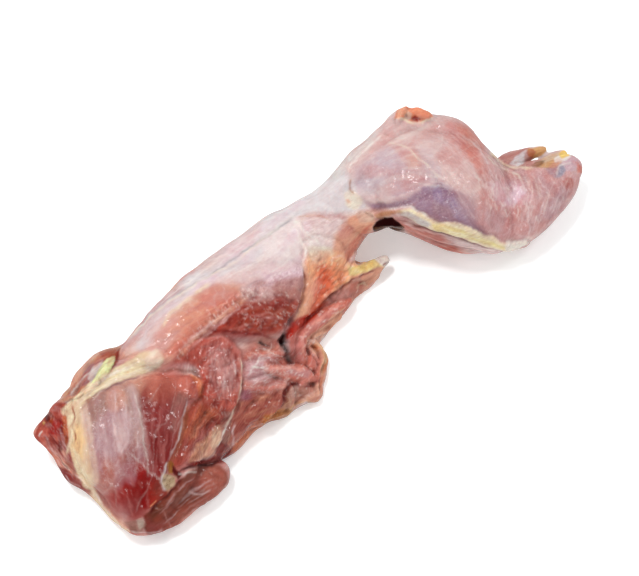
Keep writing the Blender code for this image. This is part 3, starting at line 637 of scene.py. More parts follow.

# Fine lines of fascia, tendon and fat, painted shadow and painted highlights: name, colour, strength, half
# width px, height mm, path
LINES = [
    ("dorsal", ASH, 0.9, 1.2, -0.5, [(306, 206), (290, 219), (268, 236), (240, 254), (218, 270), (205, 280),
        (190, 289), (175, 300), (160, 312), (150, 321), (140, 335), (126, 349)]),
    ("dorsal_ridge", IVORY, 0.6, 1.2, 0.4, [(285, 223), (262, 240), (235, 262), (210, 277), (180, 298),
        (158, 315), (145, 328), (135, 338), (124, 350)]),
    ("chest_gold", CREAM, 0.7, 1.6, 0.2, [(212, 284), (200, 293), (185, 305), (170, 318), (163, 332)]),
    # Painted highlight along the chest's ridge
    ("ridge_light", PEACH, 0.6, 2.4, 0.8, [(250, 293), (232, 310), (215, 322), (200, 335), (187, 347),
        (176, 360)]),
    ("ribbon_a", PEARL, 0.8, 1.3, 0.4, [(293, 219), (298, 232), (301, 243), (305, 250), (303, 262),
        (305, 270)]),
    ("ribbon_low", SALMON, 0.7, 1.0, 0.3, [(303, 262), (305, 272), (307, 285), (306, 300), (302, 314)]),
    ("ribbon_b", PEARL, 0.8, 1.3, 0.4, [(293, 219), (305, 233), (310, 243), (312, 250)]),
    ("ribbon_c", PEARL, 0.7, 1.3, 0.4, [(293, 219), (300, 225), (312, 238), (321, 246)]),
    ("ribbon_brown", TAN, 0.6, 0.8, -0.2, [(296, 218), (305, 216), (320, 216), (328, 219), (334, 222)]),
    # Down to chest_crease: painted shade in a groove and a crease, and painted shadow in the gaps and the
    # slit
    ("loin_groove", WINE, 0.8, 1.4, -0.9, [(301, 268), (304, 280), (304, 290), (301, 302), (296, 313),
        (290, 322)]),
    ("gap", SHADOW_BLACK, 1.0, 3.4, -4.0, [(294, 314), (289, 324), (286, 333), (285, 342), (287, 351), (290, 360),
        (291, 366)]),
    ("gap_wide", SHADOW_BLACK, 1.0, 3.6, -3.0, [(279, 338), (283, 342), (287, 346)]),
    ("slit", SHADOW_BLACK, 0.9, 1.2, -1.0, [(258, 341), (265, 345), (272, 347)]),
    ("chest_crease", CRIMSON, 0.7, 1.4, -1.0, [(200, 329), (225, 332), (245, 333), (260, 335), (276, 340)]),
    ("lobe_rim", ROSE, 0.6, 1.6, 0.5, [(183, 350), (195, 343), (205, 338), (222, 338), (232, 345),
        (238, 355), (241, 365), (239, 385)]),
    ("ivory_edge", IVORY, 0.7, 1.2, 0.6, [(236, 355), (241, 365), (240, 380), (239, 390), (237, 400),
        (233, 410), (229, 420), (220, 428)]),
    ("ivory_shade", WINE, 0.5, 1.6, -0.5, [(244, 362), (243, 385), (240, 402), (235, 415), (226, 428)]),
    ("pocket_fold", SHELL, 0.7, 0.9, 0.3, [(236, 424), (232, 432), (234, 440), (232, 446)]),
    ("fat_patch_rim", PEARL, 0.7, 0.8, 0.3, [(229, 420), (224, 430), (220, 440), (217, 448)]),
    # Painted shade in a crease and in the groove beside the shoulder
    ("crease_low", SHADE_DARK, 0.9, 1.4, -1.4, [(176, 474), (188, 468), (200, 466), (212, 464), (221, 461)]),
    ("shoulder_groove", BROWN, 0.5, 2.0, -0.6, [(203, 380), (202, 396), (194, 404), (188, 414), (184, 430),
        (176, 456)]),
    ("corner_rim", APRICOT, 0.6, 0.8, 0.2, [(188, 375), (196, 378), (200, 385), (200, 396)]),
    ("corner_shade", BROWN, 0.5, 1.6, -0.5, [(158, 372), (172, 370), (184, 370), (194, 372), (202, 378)]),
    ("membrane_a", SILVER, 0.6, 1.0, 0.3, [(188, 398), (184, 410), (181, 424), (178, 438), (172, 450),
        (166, 462)]),
    ("membrane_b", SILVER, 0.8, 1.2, 0.4, [(167, 460), (163, 470), (161, 482), (166, 492)]),
    ("shoulder_line", PEARL, 0.4, 0.8, 0.2, [(131, 386), (134, 396), (138, 412), (142, 430), (144, 446),
        (147, 462), (148, 478)]),
    ("shoulder_line_b", SHELL, 0.6, 0.9, 0.15, [(114, 388), (115, 400), (115, 412), (116, 424)]),
    ("shoulder_line_c", SHELL, 0.5, 1.4, 0.2, [(112, 428), (118, 440), (120, 452), (126, 444), (128, 430)]),
    ("shoulder_line_d", PEARL, 0.35, 0.9, 0.15, [(128, 452), (140, 462), (152, 474), (162, 480)]),
    ("collar_shade", PLUM, 0.8, 1.0, -0.5, [(84, 404), (98, 393), (108, 388), (121, 383), (132, 379),
        (142, 375)]),
    ("forearm_line_a", SHELL, 0.5, 0.8, 0.2, [(188, 492), (198, 494), (208, 492), (218, 486)]),
    ("forearm_line_b", DUSK, 0.6, 0.8, 0.2, [(162, 508), (166, 516), (170, 526), (172, 532)]),
    ("forearm_line_c", DUSK, 0.4, 0.8, 0.2, [(150, 508), (160, 509), (168, 504), (176, 496), (178, 484),
        (174, 474)]),
    ("forearm_glint", PEARL, 0.6, 0.8, 0.3, [(177, 474), (184, 474), (190, 472), (197, 472)]),
    # Painted shade in the crease between elbow and forearm
    ("forearm_groove", MAROON, 0.8, 1.4, -1.2, [(148, 516), (156, 506), (166, 498), (174, 488), (184, 476)]),
    ("elbow_line", SHELL, 0.7, 0.8, 0.2, [(130, 531), (142, 532), (154, 533), (166, 528)]),
    ("elbow_rim", APRICOT, 0.9, 0.8, 0.2, [(149, 507), (153, 503), (157, 500)]),
    ("neck_white", PEARL, 0.4, 0.9, 0.3, [(62, 462), (72, 472), (82, 480), (92, 490)]),
    # Painted shade in the neck's creases
    ("neck_crease", RUSSET, 0.8, 0.9, -0.6, [(74, 404), (75, 416), (73, 426), (76, 434), (75, 446)]),
    ("neck_crease_b", SEPIA, 0.7, 0.8, -0.5, [(62, 404), (70, 400), (80, 397), (86, 392)]),
    ("leaf_shade", SEPIA, 0.5, 0.8, -0.5, [(96, 388), (100, 382), (98, 376)]),
    ("neck_streak_a", SHELL, 0.3, 0.8, 0.3, [(48, 446), (56, 455), (64, 465), (70, 472)]),
    ("neck_streak_b", CRIMSON, 0.5, 1.0, -0.4, [(46, 430), (56, 444), (64, 460)]),
    ("neck_edge_line", TERRA, 0.75, 1.1, 0.3, [(41, 445), (49, 452), (58, 461)]),
    ("neck_strand", NUDE, 0.7, 0.7, 0.3, [(54, 449), (61, 458), (68, 467), (74, 473)]),
    # Painted shade in a small crevice of the neck
    ("neck_dark", SEPIA, 0.7, 0.7, -0.4, [(57, 455), (66, 466), (75, 474)]),
    ("tip_glint", PEARL, 0.8, 0.7, 0.3, [(39, 437), (40, 434), (43, 431)]),
    ("cavity_fleck", YELLOW, 0.8, 0.8, 0.2, [(43, 422), (45, 424)]),
    ("under_line", SHELL, 0.5, 0.6, 0.2, [(64, 474), (72, 482), (82, 488)]),
    ("fat_edge", CREAM, 0.85, 1.4, 0.5, [(74, 427), (72, 438), (69, 447), (66, 455)]),
    ("front_line", SHELL, 0.6, 1.0, 0.2, [(90, 480), (98, 496), (112, 514), (126, 528)]),
    ("far_arm_line", PEARL, 0.6, 1.0, 0.3, [(70, 396), (76, 388), (86, 376), (96, 368), (104, 358)]),
    ("thigh_line", IVORY, 0.6, 0.9, 0.4, [(385, 144), (400, 144), (408, 149), (416, 157), (425, 164),
        (434, 172), (440, 180)]),
    ("thigh_line_b", SHELL, 0.4, 1.0, 0.3, [(440, 180), (452, 188), (462, 200), (470, 212), (480, 224)]),
    ("thigh_line_low", SHELL, 0.6, 1.0, 0.3, [(388, 200), (402, 196), (414, 192), (426, 186), (434, 182)]),
    ("hip_white", PEARL, 0.85, 1.3, 0.4, [(384, 134), (374, 142), (364, 151), (354, 162), (346, 172)]),
    ("hip_line", PINK, 0.7, 1.0, 0.3, [(388, 130), (396, 124), (404, 122), (412, 124), (420, 125),
        (428, 120)]),
    ("tail_line", CREAM, 0.8, 1.1, 0.4, [(392, 118), (402, 119), (410, 122), (418, 124), (424, 121),
        (434, 117)]),
    ("hip_scratch", UMBER, 0.5, 0.7, -0.2, [(384, 134), (388, 136)]),
    ("waist_mark", TAN, 0.7, 1.0, -0.4, [(352, 178), (350, 184), (351, 190), (354, 195)]),
    ("flank_dark_a", UMBER, 0.6, 0.8, -0.4, [(364, 211), (368, 214), (376, 218)]),
    ("seam_top", PEARL, 0.7, 0.8, 0.3, [(385, 210), (397, 208), (408, 206), (418, 210), (430, 218)]),
    ("seam_shade", UMBER, 0.5, 0.9, -0.6, [(404, 218), (418, 226), (440, 232), (466, 241), (490, 249)]),
    ("far_thigh_a", SHELL, 0.5, 0.9, 0.4, [(396, 219), (410, 226), (424, 231), (446, 236), (470, 244),
        (490, 250)]),
    ("far_thigh_b", COCOA, 0.6, 0.9, -0.4, [(392, 217), (406, 222), (424, 229), (450, 235), (474, 241)]),
    ("shank_fold_a", CREAM, 0.7, 1.3, 0.6, [(487, 150), (496, 158), (506, 166), (520, 168), (536, 168)]),
    ("shank_fold_b", IVORY, 0.6, 1.0, 0.4, [(484, 152), (492, 162), (504, 170), (516, 174), (524, 182)]),
    ("shank_fold_c", COCOA, 0.5, 0.9, -0.5, [(490, 154), (500, 163), (512, 169), (526, 171)]),
    ("ham_line", SHELL, 0.6, 0.9, 0.3, [(464, 136), (474, 144), (484, 156), (490, 170), (496, 182)]),
    ("knee_line", SHELL, 0.7, 0.9, 0.2, [(526, 200), (528, 214), (529, 226), (530, 238)]),
    ("shank_line_a", SHELL, 0.6, 0.9, 0.2, [(546, 196), (542, 208), (536, 220), (531, 234)]),
    ("shank_line_b", SHELL, 0.5, 0.9, 0.2, [(540, 184), (548, 190), (548, 200), (544, 212)]),
    ("hock_line", PEARL, 0.5, 0.8, 0.2, [(556, 176), (558, 168), (564, 164), (572, 162)]),
    ("rim_outer", TERRA, 0.75, 1.8, 0.4, [(315, 341), (322, 344), (326, 352), (328, 360), (325, 370),
        (321, 380), (321, 398)]),
    ("rim_base", AMBER, 0.7, 1.2, 0.3, [(321, 399), (314, 403), (306, 401), (298, 403), (288, 411)]),
    # Down to fan_crease: painted shade in creases and a notch
    ("cross_crease", WINE, 0.7, 1.4, -0.8, [(296, 386), (306, 386), (314, 384), (320, 378)]),
    ("bulge_crease", CRIMSON, 0.5, 1.0, -0.6, [(304, 364), (309, 370), (316, 372)]),
    ("lobes_crease", SHADE_DARK, 0.8, 1.2, -1.0, [(298, 384), (290, 385), (286, 390), (284, 400), (282, 410)]),
    ("fan_notch", CRIMSON, 0.8, 0.9, -0.6, [(382, 266), (385, 263), (387, 262)]),
    ("fan_crease", WINE, 0.7, 1.2, -0.9, [(380, 268), (368, 273), (354, 279), (344, 286), (334, 293),
        (324, 299)]),
    ("fan_fold_a", SHELL, 0.5, 1.0, 0.5, [(330, 262), (333, 257), (339, 255), (344, 258)]),
    ("fan_fold_b", CREAM, 0.5, 0.8, 0.3, [(357, 290), (359, 285), (364, 283), (367, 287)]),
    ("side_shade", WINE, 0.55, 2.6, -0.6, [(300, 274), (301, 288), (299, 302), (293, 316), (286, 327)]),
    # To the end of the table: painted highlights on the tubes and the curled rim, and painted reflections on
    # the ribs
    ("tube_painted_highlight", BLOOM, 0.6, 1.4, 0.3, [(346, 302), (334, 309), (322, 317), (310, 327), (303, 338),
        (303, 350), (306, 358)]),
    ("cross_painted_highlight", BLOOM, 0.65, 1.6, 0.3, [(266, 367), (278, 368), (292, 368), (306, 370)]),
    ("tent_a", PEARL, 0.8, 1.0, 0.4, [(246, 369), (256, 367), (270, 369)]),
    ("tent_b", PEARL, 0.6, 0.9, 0.4, [(247, 375), (256, 364), (262, 353)]),
    ("tent_c", SHELL, 0.6, 0.9, 0.4, [(252, 384), (264, 377), (276, 374)]),
    ("curl_painted_highlight", CREAM, 0.6, 0.8, 0.2, [(313, 341), (321, 346), (325, 354), (325, 364)]),
]

# Bundles of fibres or wrinkles between two guides: name, light, dark, count, half width px, height mm,
# share of the guide that each one spans, guide, guide
# Light strands stand raised and dark ones sunk: painted highlight and painted shade over the fibres' own
# tones
BUNDLES = [
    ("loin", PEARL, LILAC, 26, 0.8, 0.15, 0.6, [(212, 284), (250, 258), (296, 222)], [(232, 296), (270, 286),
        (302, 266)]),
    ("back", PEARL, ASH, 22, 0.8, 0.15, 0.5, [(150, 312), (205, 262), (320, 180)], [(160, 316), (215, 274),
        (330, 190)]),
    ("upper_chest", PEACH, ROSE, 34, 0.9, 0.2, 0.6, [(130, 350), (170, 308), (232, 288)], [(166, 362),
        (196, 332), (240, 306)]),
    ("comb_a", SHELL, RED, 16, 1.0, 0.6, 1.0, [(236, 302), (222, 314), (204, 328), (186, 342), (174, 358)],
        [(252, 300), (232, 320), (214, 334), (196, 350), (184, 360)]),
    ("comb_b", PINK, CRIMSON, 16, 1.0, 0.5, 0.7, [(246, 286), (262, 282), (280, 290), (296, 296)],
        [(240, 318), (256, 324), (272, 322), (286, 316)]),
    ("side", ROSE, CRIMSON, 26, 0.9, 0.3, 0.5, [(216, 324), (250, 302), (298, 300)], [(228, 334), (258, 330),
        (284, 326)]),
    ("lobe_wrinkles", SHELL, CRIMSON, 26, 1.0, 0.5, 0.5, [(206, 352), (208, 372), (210, 396)], [(236, 352),
        (238, 374), (236, 402)]),
    ("lobe_arc", PINK, WINE, 14, 1.0, 0.4, 0.6, [(190, 352), (212, 342), (232, 352), (238, 372)],
        [(202, 372), (214, 360), (226, 372), (230, 390)]),
    ("fibre_muscle", ROSE, SHADE_DARK, 40, 0.8, 0.3, 0.6, [(200, 398), (188, 430), (172, 466)], [(230, 412),
        (208, 434), (186, 462)]),
    ("low_chest", TAN, CRIMSON, 30, 0.9, 0.3, 0.5, [(244, 400), (264, 394), (284, 392)], [(226, 450),
        (250, 430), (284, 410)]),
    ("ribs", SHELL, WINE, 26, 0.9, 0.3, 0.5, [(246, 356), (264, 352), (284, 354)], [(246, 394), (264, 388),
        (286, 380)]),
    ("shoulder_right", ROSE, CRIMSON, 44, 0.9, 0.2, 0.5, [(138, 388), (144, 430), (152, 486)], [(196, 384),
        (178, 424), (164, 476)]),
    ("shoulder_left", SHELL, MAUVE, 40, 1.0, 0.2, 0.5, [(86, 414), (88, 446), (100, 486)], [(132, 392),
        (138, 430), (142, 474)]),
    ("upper_arm", ROSE, CRIMSON, 26, 0.9, 0.25, 0.5, [(104, 486), (112, 502), (126, 522)], [(144, 470),
        (152, 492), (150, 512)]),
    ("forearm", SHELL, SHADE_DARK, 26, 0.8, 0.25, 0.5, [(156, 512), (184, 484), (216, 468)], [(160, 534),
        (190, 508), (226, 486)]),
    ("collar", PEARL, BUTTER, 22, 0.8, 0.25, 0.5, [(70, 404), (108, 374), (158, 356)], [(80, 414),
        (112, 384), (158, 368)]),
    ("neck", SHELL, CRIMSON, 24, 0.8, 0.4, 0.6, [(38, 436), (50, 452), (66, 474)], [(62, 408), (64, 430),
        (74, 470)]),
    ("far_arm", PEACH, WINE, 14, 0.8, 0.3, 0.5, [(68, 394), (84, 366), (116, 350)], [(84, 392), (98, 374),
        (112, 362)]),
    ("hip", PEARL, PINK, 40, 1.0, 0.2, 0.5, [(352, 184), (380, 146), (440, 118)], [(370, 200), (410, 190),
        (470, 200)]),
    ("thigh_up", SHELL, ROSE, 34, 0.9, 0.2, 0.5, [(400, 124), (440, 140), (480, 190)], [(450, 120),
        (480, 144), (490, 184)]),
    ("violet", LILAC, PURPLE, 20, 0.8, 0.2, 0.5, [(430, 188), (436, 204), (436, 220)], [(450, 192),
        (466, 210), (482, 230)]),
    ("ham_streaks", PEARL, ROSE, 26, 1.0, 0.5, 0.4, [(470, 170), (482, 190), (488, 208)], [(488, 160),
        (496, 186), (498, 212)]),
    ("shank", PEARL, MAUVE, 44, 0.9, 0.3, 0.4, [(490, 160), (505, 200), (512, 236)], [(536, 172), (548, 196),
        (534, 232)]),
    ("shank_end", SHELL, PLUM, 26, 0.8, 0.3, 0.4, [(540, 176), (556, 196), (544, 220)], [(566, 170),
        (574, 186), (558, 212)]),
    ("far_thigh", SHELL, COCOA, 26, 0.8, 0.3, 0.5, [(398, 220), (440, 234), (500, 250)], [(410, 232),
        (446, 248), (490, 254)]),
    ("seam", PEARL, OCHRE, 22, 0.8, 0.3, 0.3, [(376, 213), (410, 208), (450, 224), (505, 244)], [(380, 217),
        (414, 220), (450, 233), (505, 250)]),
    ("flank", PEACH, RED, 24, 0.8, 0.3, 0.5, [(334, 228), (344, 222), (364, 212)], [(336, 258), (350, 250),
        (372, 226)]),
]

# Skin thrown into small wrinkles: name, height mm, pitch px, length px, direction degrees, outline
WRINKLES = [
    ("upper_chest", 0.22, 5, 26, 40, [(125, 350), (160, 304), (205, 284), (240, 292), (210, 330),
        (170, 362)]),
    ("side", 0.7, 5, 12, 60, [(216, 322), (240, 296), (300, 282), (294, 320), (262, 336), (220, 334)]),
    ("lobe", 0.7, 5, 12, 20, [(190, 350), (222, 338), (240, 356), (238, 402), (222, 420), (200, 404)]),
    ("ribs", 0.7, 5, 14, 10, [(241, 350), (285, 346), (300, 370), (284, 392), (245, 398)]),
    ("low_chest", 0.7, 5, 18, 50, [(200, 400), (240, 400), (284, 390), (286, 408), (242, 444), (190, 462)]),
    ("flap", 0.5, 3, 5, 40, [(304, 252), (350, 258), (386, 262), (350, 306), (320, 300)]),
    ("flap_low", 0.4, 5, 12, 40, [(300, 310), (350, 300), (330, 400), (290, 410), (284, 350)]),
    ("shank", 0.35, 5, 12, 120, [(484, 160), (550, 168), (580, 162), (570, 200), (530, 238), (486, 230)]),
    ("hip", 0.15, 8, 24, 30, [(350, 180), (390, 120), (470, 124), (490, 200), (430, 216), (360, 204)]),
    ("neck", 0.5, 4, 10, 130, [(34, 436), (50, 408), (66, 404), (74, 478)]),
    ("shoulder", 0.2, 6, 24, 100, [(84, 410), (140, 382), (198, 380), (164, 484), (120, 520)]),
    ("forearm", 0.35, 4, 14, 140, [(150, 514), (186, 478), (226, 468), (224, 490), (160, 536)]),
]

# Short strokes of fascia, painted glints or painted shade: name, colour, strength, count, length px, half
# width px, direction degrees, height mm, outline
FLECKS = [
    # Painted glints across the ridge's wrinkles, and painted shade between them
    ("comb", PEARL, 0.35, 60, 3.5, 0.5, -50, 0.2, [(247, 288), (252, 296), (228, 312), (210, 328),
        (190, 348), (180, 362), (175, 358), (188, 340), (206, 322), (228, 304)]),
    ("comb_dark", CRIMSON, 0.25, 40, 6, 0.8, -50, -0.25, [(247, 286), (256, 293), (232, 312), (214, 328),
        (192, 350), (180, 364), (174, 358), (188, 340), (206, 322), (228, 304)]),
    # On the side and the lobe: pale strokes as painted glints, dark ones as painted shade in the wrinkles
    ("side_light", PEARL, 0.35, 90, 2.6, 0.5, -35, 0.2, [(240, 290), (270, 288), (298, 296), (294, 318),
        (276, 330), (244, 326), (230, 318)]),
    ("side_dark", CRIMSON, 0.45, 50, 7, 0.9, -35, -0.2, [(236, 300), (270, 296), (298, 300), (292, 318),
        (270, 334), (230, 330), (220, 324)]),
    ("lobe_light", PEARL, 0.3, 70, 2.6, 0.5, -60, 0.2, [(200, 345), (230, 345), (240, 362), (238, 392),
        (222, 414), (204, 400), (202, 374)]),
    ("lobe_dark", CRIMSON, 0.35, 50, 7, 0.8, -80, -0.2, [(190, 350), (230, 345), (240, 362), (238, 392),
        (222, 414), (204, 400), (202, 374)]),
    ("shank_light", PEARL, 0.4, 60, 6, 0.6, -70, 0.15, [(474, 172), (500, 172), (545, 182), (550, 200),
        (534, 226), (500, 216), (484, 206)]),
    ("shoulder_light", SHELL, 0.2, 50, 7, 0.7, 70, 0.1, [(88, 420), (110, 408), (134, 412), (142, 440),
        (138, 470), (112, 480), (92, 460)]),
    # Painted glints on the flap and the ribs
    ("flap_light", PEARL, 0.35, 90, 2.6, 0.5, 40, 0.2, [(306, 254), (350, 262), (380, 264), (350, 300),
        (326, 330), (310, 396), (270, 384), (290, 340), (300, 310)]),
    ("ribs_light", PEARL, 0.35, 60, 3.0, 0.5, -15, 0.2, [(244, 352), (284, 348), (292, 372), (280, 390),
        (246, 392)]),
    ("tube_glints", PEARL, 0.5, 24, 2.8, 0.6, 25, 0.3, [(344, 297), (351, 304), (328, 319), (312, 335),
        (310, 352), (302, 354), (303, 334), (318, 314)]),
    ("cross_glints", PEARL, 0.45, 20, 2.6, 0.6, 80, 0.3, [(262, 362), (300, 364), (316, 368), (314, 377),
        (290, 375), (262, 375)]),
    ("fan_glints", CREAM, 0.5, 26, 2.6, 0.55, 60, 0.2, [(306, 254), (330, 252), (346, 266), (334, 288),
        (314, 300), (306, 284)]),
    ("neck_light", SHELL, 0.15, 24, 5, 0.7, -60, 0.2, [(38, 436), (52, 412), (64, 406), (66, 440), (70, 470),
        (52, 462)]),
]

# Blots, or a web of thin lines, over a part of the skin: name, colour, strength, whether it is a web,
# length px, pitch px, direction degrees, outline
MOTTLES = [
    ("side_blots", GARNET, 0.4, False, 14, 7, 40, [(216, 322), (240, 300), (262, 292), (300, 290),
        (300, 312), (288, 330), (262, 338), (236, 336)]),
    ("side_web", PEARL, 0.08, True, 16, 9, -30, [(236, 306), (240, 290), (300, 282), (300, 312), (284, 332),
        (240, 332)]),
    ("lobe_blots", GARNET, 0.35, False, 16, 6, 70, [(178, 364), (190, 346), (222, 338), (240, 352),
        (240, 392), (220, 424), (204, 412)]),
    ("lobe_web", SHELL, 0.15, True, 12, 7, -60, [(200, 346), (224, 340), (240, 356), (238, 396), (220, 424),
        (206, 408)]),
    ("rib_blots", CRIMSON, 0.35, False, 16, 6, 10, [(241, 350), (284, 338), (300, 362), (286, 386),
        (262, 396), (245, 398)]),
    ("rib_web", PEARL, 0.3, True, 16, 7, -10, [(243, 350), (284, 344), (292, 366), (284, 384), (262, 394),
        (246, 394)]),
    ("low_chest_blots", CRIMSON, 0.35, False, 20, 5, 55, [(200, 398), (240, 402), (284, 390), (286, 408),
        (242, 444), (224, 458), (188, 462), (172, 464)]),
    ("low_chest_web", PEACH, 0.3, True, 20, 8, 55, [(200, 400), (240, 402), (284, 390), (286, 408),
        (242, 444), (190, 462)]),
    ("chest_top_blots", CORAL, 0.45, False, 24, 9, 38, [(146, 362), (168, 322), (206, 292), (240, 288),
        (240, 304), (184, 350)]),
    ("chest_top_web", SHELL, 0.2, True, 20, 9, -50, [(150, 360), (168, 322), (206, 292), (236, 288),
        (240, 304), (184, 350)]),
    ("loin_blots", ORCHID, 0.45, False, 34, 12, 38, [(150, 340), (205, 264), (300, 200), (304, 262),
        (260, 284), (212, 286), (170, 318)]),
    ("loin_web", PEARL, 0.25, True, 60, 12, 38, [(150, 340), (205, 264), (310, 190), (340, 190), (304, 262),
        (212, 286)]),
    ("hip_blots", ROSE, 0.4, False, 26, 13, 20, [(352, 190), (388, 124), (450, 120), (484, 150), (488, 190),
        (430, 184), (380, 200)]),
    ("hip_web", PEARL, 0.14, True, 44, 15, 30, [(350, 190), (388, 124), (450, 120), (484, 150), (488, 200),
        (430, 190), (380, 204)]),
    ("hip_grey", LAVENDER, 0.45, False, 22, 12, -40, [(350, 190), (380, 150), (430, 150), (440, 180),
        (400, 196)]),
    ("shank_blots", ROSE, 0.55, False, 20, 9, 70, [(480, 170), (500, 166), (572, 160), (580, 172),
        (560, 210), (528, 242), (488, 232)]),
    ("shank_web", PEARL, 0.14, True, 26, 11, 70, [(478, 170), (500, 166), (572, 160), (578, 176), (560, 210),
        (528, 242), (488, 232)]),
    ("violet_blots", PLUM, 0.4, False, 14, 8, -60, [(416, 206), (440, 184), (466, 204), (488, 236),
        (450, 222)]),
    ("far_thigh_blots", BRICK, 0.5, False, 24, 5, -15, [(398, 220), (440, 236), (480, 248), (500, 254),
        (470, 258), (430, 246)]),
    ("shoulder_blots", CRIMSON, 0.35, False, 24, 9, 80, [(140, 388), (196, 380), (186, 404), (178, 446),
        (164, 484), (130, 516), (120, 500), (146, 460)]),
    ("shoulder_web", PEARL, 0.12, True, 44, 14, 80, [(100, 396), (196, 380), (186, 404), (178, 446),
        (164, 484), (130, 510), (96, 470)]),
    ("left_blots", MAUVE, 0.35, False, 20, 9, 90, [(86, 414), (104, 394), (132, 390), (142, 440), (140, 476),
        (104, 490), (90, 464)]),
    ("left_web", SHELL, 0.1, True, 20, 9, 100, [(88, 420), (110, 400), (132, 400), (142, 440), (138, 466),
        (112, 474), (92, 460)]),
    ("fan_blots", VERMILION, 0.3, False, 7, 5, 30, [(312, 262), (330, 262), (348, 266), (344, 284),
        (318, 300), (310, 290)]),
    ("fan_web", CREAM, 0.25, True, 8, 6, 40, [(306, 252), (346, 252), (384, 262), (350, 284), (318, 296)]),
    ("low_flap_blots", BRICK, 0.4, False, 12, 6, 40, [(300, 310), (350, 300), (330, 330), (320, 400),
        (290, 410), (276, 370), (290, 340)]),
    ("low_flap_web", PEARL, 0.15, True, 12, 7, 60, [(300, 314), (346, 302), (326, 330), (326, 380),
        (316, 400), (290, 408), (276, 370)]),
    ("neck_blots", GARNET, 0.45, False, 9, 5, -50, NECK),
    ("neck_web", SHELL, 0.15, True, 14, 7, -60, NECK),
    ("neck_fat_blots", TAN, 0.35, False, 10, 6, 80, [(66, 408), (78, 404), (92, 440), (94, 480), (80, 476),
        (68, 430)]),
    ("far_arm_blots", BRICK, 0.5, False, 12, 5, 50, [(62, 402), (80, 364), (104, 348), (122, 348),
        (100, 376), (84, 392)]),
    ("forearm_blots", BRICK, 0.35, False, 18, 7, 38, FOREARM),
    ("forearm_web", DUSK, 0.15, True, 30, 12, 38, FOREARM),
    ("pit_grains", SAND, 0.7, False, 4, 3, 0, PIT),
    ("pit_holes", UMBER, 0.6, True, 4, 4, 30, PIT),
]

# Fascia that veils the muscle: name, strength, edge px, outline
VEILS = [
    ("back", 0.35, 8, BACK_SHEET),
    ("hip", 0.3, 8, [(340, 190), (352, 160), (385, 122), (450, 118), (484, 150), (490, 190), (480, 220),
        (430, 210), (380, 204)]),
    ("shank", 0.35, 8, [(486, 154), (550, 168), (580, 160), (570, 200), (530, 240), (486, 230)]),
    ("shoulder", 0.3, 8, [(84, 410), (104, 394), (132, 388), (142, 420), (148, 460), (130, 476), (104, 490),
        (88, 470)]),
    ("ribs", 0.3, 8, [(244, 348), (284, 346), (290, 372), (280, 390), (246, 392)]),
]

# How wet the skin is: name, share, soft edge px, outline
WETS = [
    ("belly", 1.0, 10, [(196, 340), (240, 330), (262, 300), (304, 260), (345, 250), (372, 262), (330, 300),
        (322, 340), (328, 400), (262, 440), (226, 466), (180, 460), (166, 420), (176, 366)]),
    ("shoulder", 0.3, 8, [(80, 410), (104, 392), (134, 386), (146, 440), (150, 500), (172, 530), (130, 552),
        (104, 520), (80, 470)]),
    ("hip", 0.42, 10, [(345, 190), (385, 100), (450, 104), (500, 160), (490, 230), (430, 210), (380, 204)]),
    ("back", 0.35, 8, BACK_SHEET),
]

# The way the fibres run: name, direction degrees, strength, outline
GRAINS = [
    ("loin", 38, 0.2, [(124, 352), (205, 262), (330, 170), (350, 190), (340, 214), (304, 216), (302, 266),
        (240, 290), (180, 340), (150, 362)]),
    ("side", 40, 0.6, [(240, 290), (302, 266), (300, 310), (284, 332), (240, 334), (206, 332)]),
    ("lobe", 80, 0.6, [(176, 362), (190, 343), (222, 335), (238, 346), (243, 365), (241, 390), (234, 412),
        (220, 426), (202, 414)]),
    ("ribs", 15, 0.6, [(241, 350), (262, 342), (284, 334), (290, 364), (286, 386), (262, 396), (245, 398)]),
    ("low_chest", 55, 1.0, [(200, 396), (240, 400), (284, 390), (288, 410), (262, 424), (242, 444),
        (226, 460), (188, 462), (170, 466)]),
    ("shoulder_right", 75, 0.45, [(134, 384), (198, 378), (200, 394), (184, 406), (178, 445), (164, 484),
        (150, 494), (146, 462), (140, 415)]),
    ("shoulder_left", 95, 0.25, [(80, 420), (100, 392), (134, 386), (140, 420), (146, 470), (150, 500),
        (130, 520), (104, 500), (84, 470)]),
    ("forearm", 38, 0.35, [(146, 514), (176, 488), (204, 466), (230, 474), (206, 503), (172, 532),
        (148, 534)]),
    ("hip", 20, 0.2, [(345, 185), (385, 122), (440, 116), (452, 150), (432, 184), (400, 200), (360, 204)]),
    ("thigh", -50, 0.35, [(430, 116), (470, 124), (490, 160), (484, 230), (452, 196), (434, 176),
        (440, 150)]),
    ("shank", 70, 0.5, [(486, 154), (550, 168), (583, 160), (574, 200), (530, 242), (486, 234)]),
    ("far_thigh", -15, 0.8, [(396, 218), (430, 230), (480, 246), (505, 252), (480, 260), (440, 252)]),
    ("flap", 45, 0.5, [(300, 250), (390, 254), (350, 306), (318, 340), (296, 334), (304, 300)]),
    ("tube", 55, 0.5, [(352, 298), (322, 310), (290, 335), (288, 352), (306, 366), (316, 336), (342, 316)]),
    ("neck", -55, 1.0, [(34, 438), (50, 406), (66, 402), (66, 440), (76, 480), (50, 466)]),
]


def camera_axes():
    """The picture's right and up, and the way from what the camera looks at back to it."""
    back = Vector((
        math.sin(AZIMUTH) * math.cos(ELEVATION),
        -math.cos(AZIMUTH) * math.cos(ELEVATION),
        math.sin(ELEVATION),
    ))
    right = Vector((math.cos(AZIMUTH), math.sin(AZIMUTH), 0))
    return right, back.cross(right), back


RIGHT, UP, BACK = camera_axes()
EYE = AIM + BACK * DISTANCE
FOCAL_PIXELS = PIXELS_PER_METRE * DISTANCE


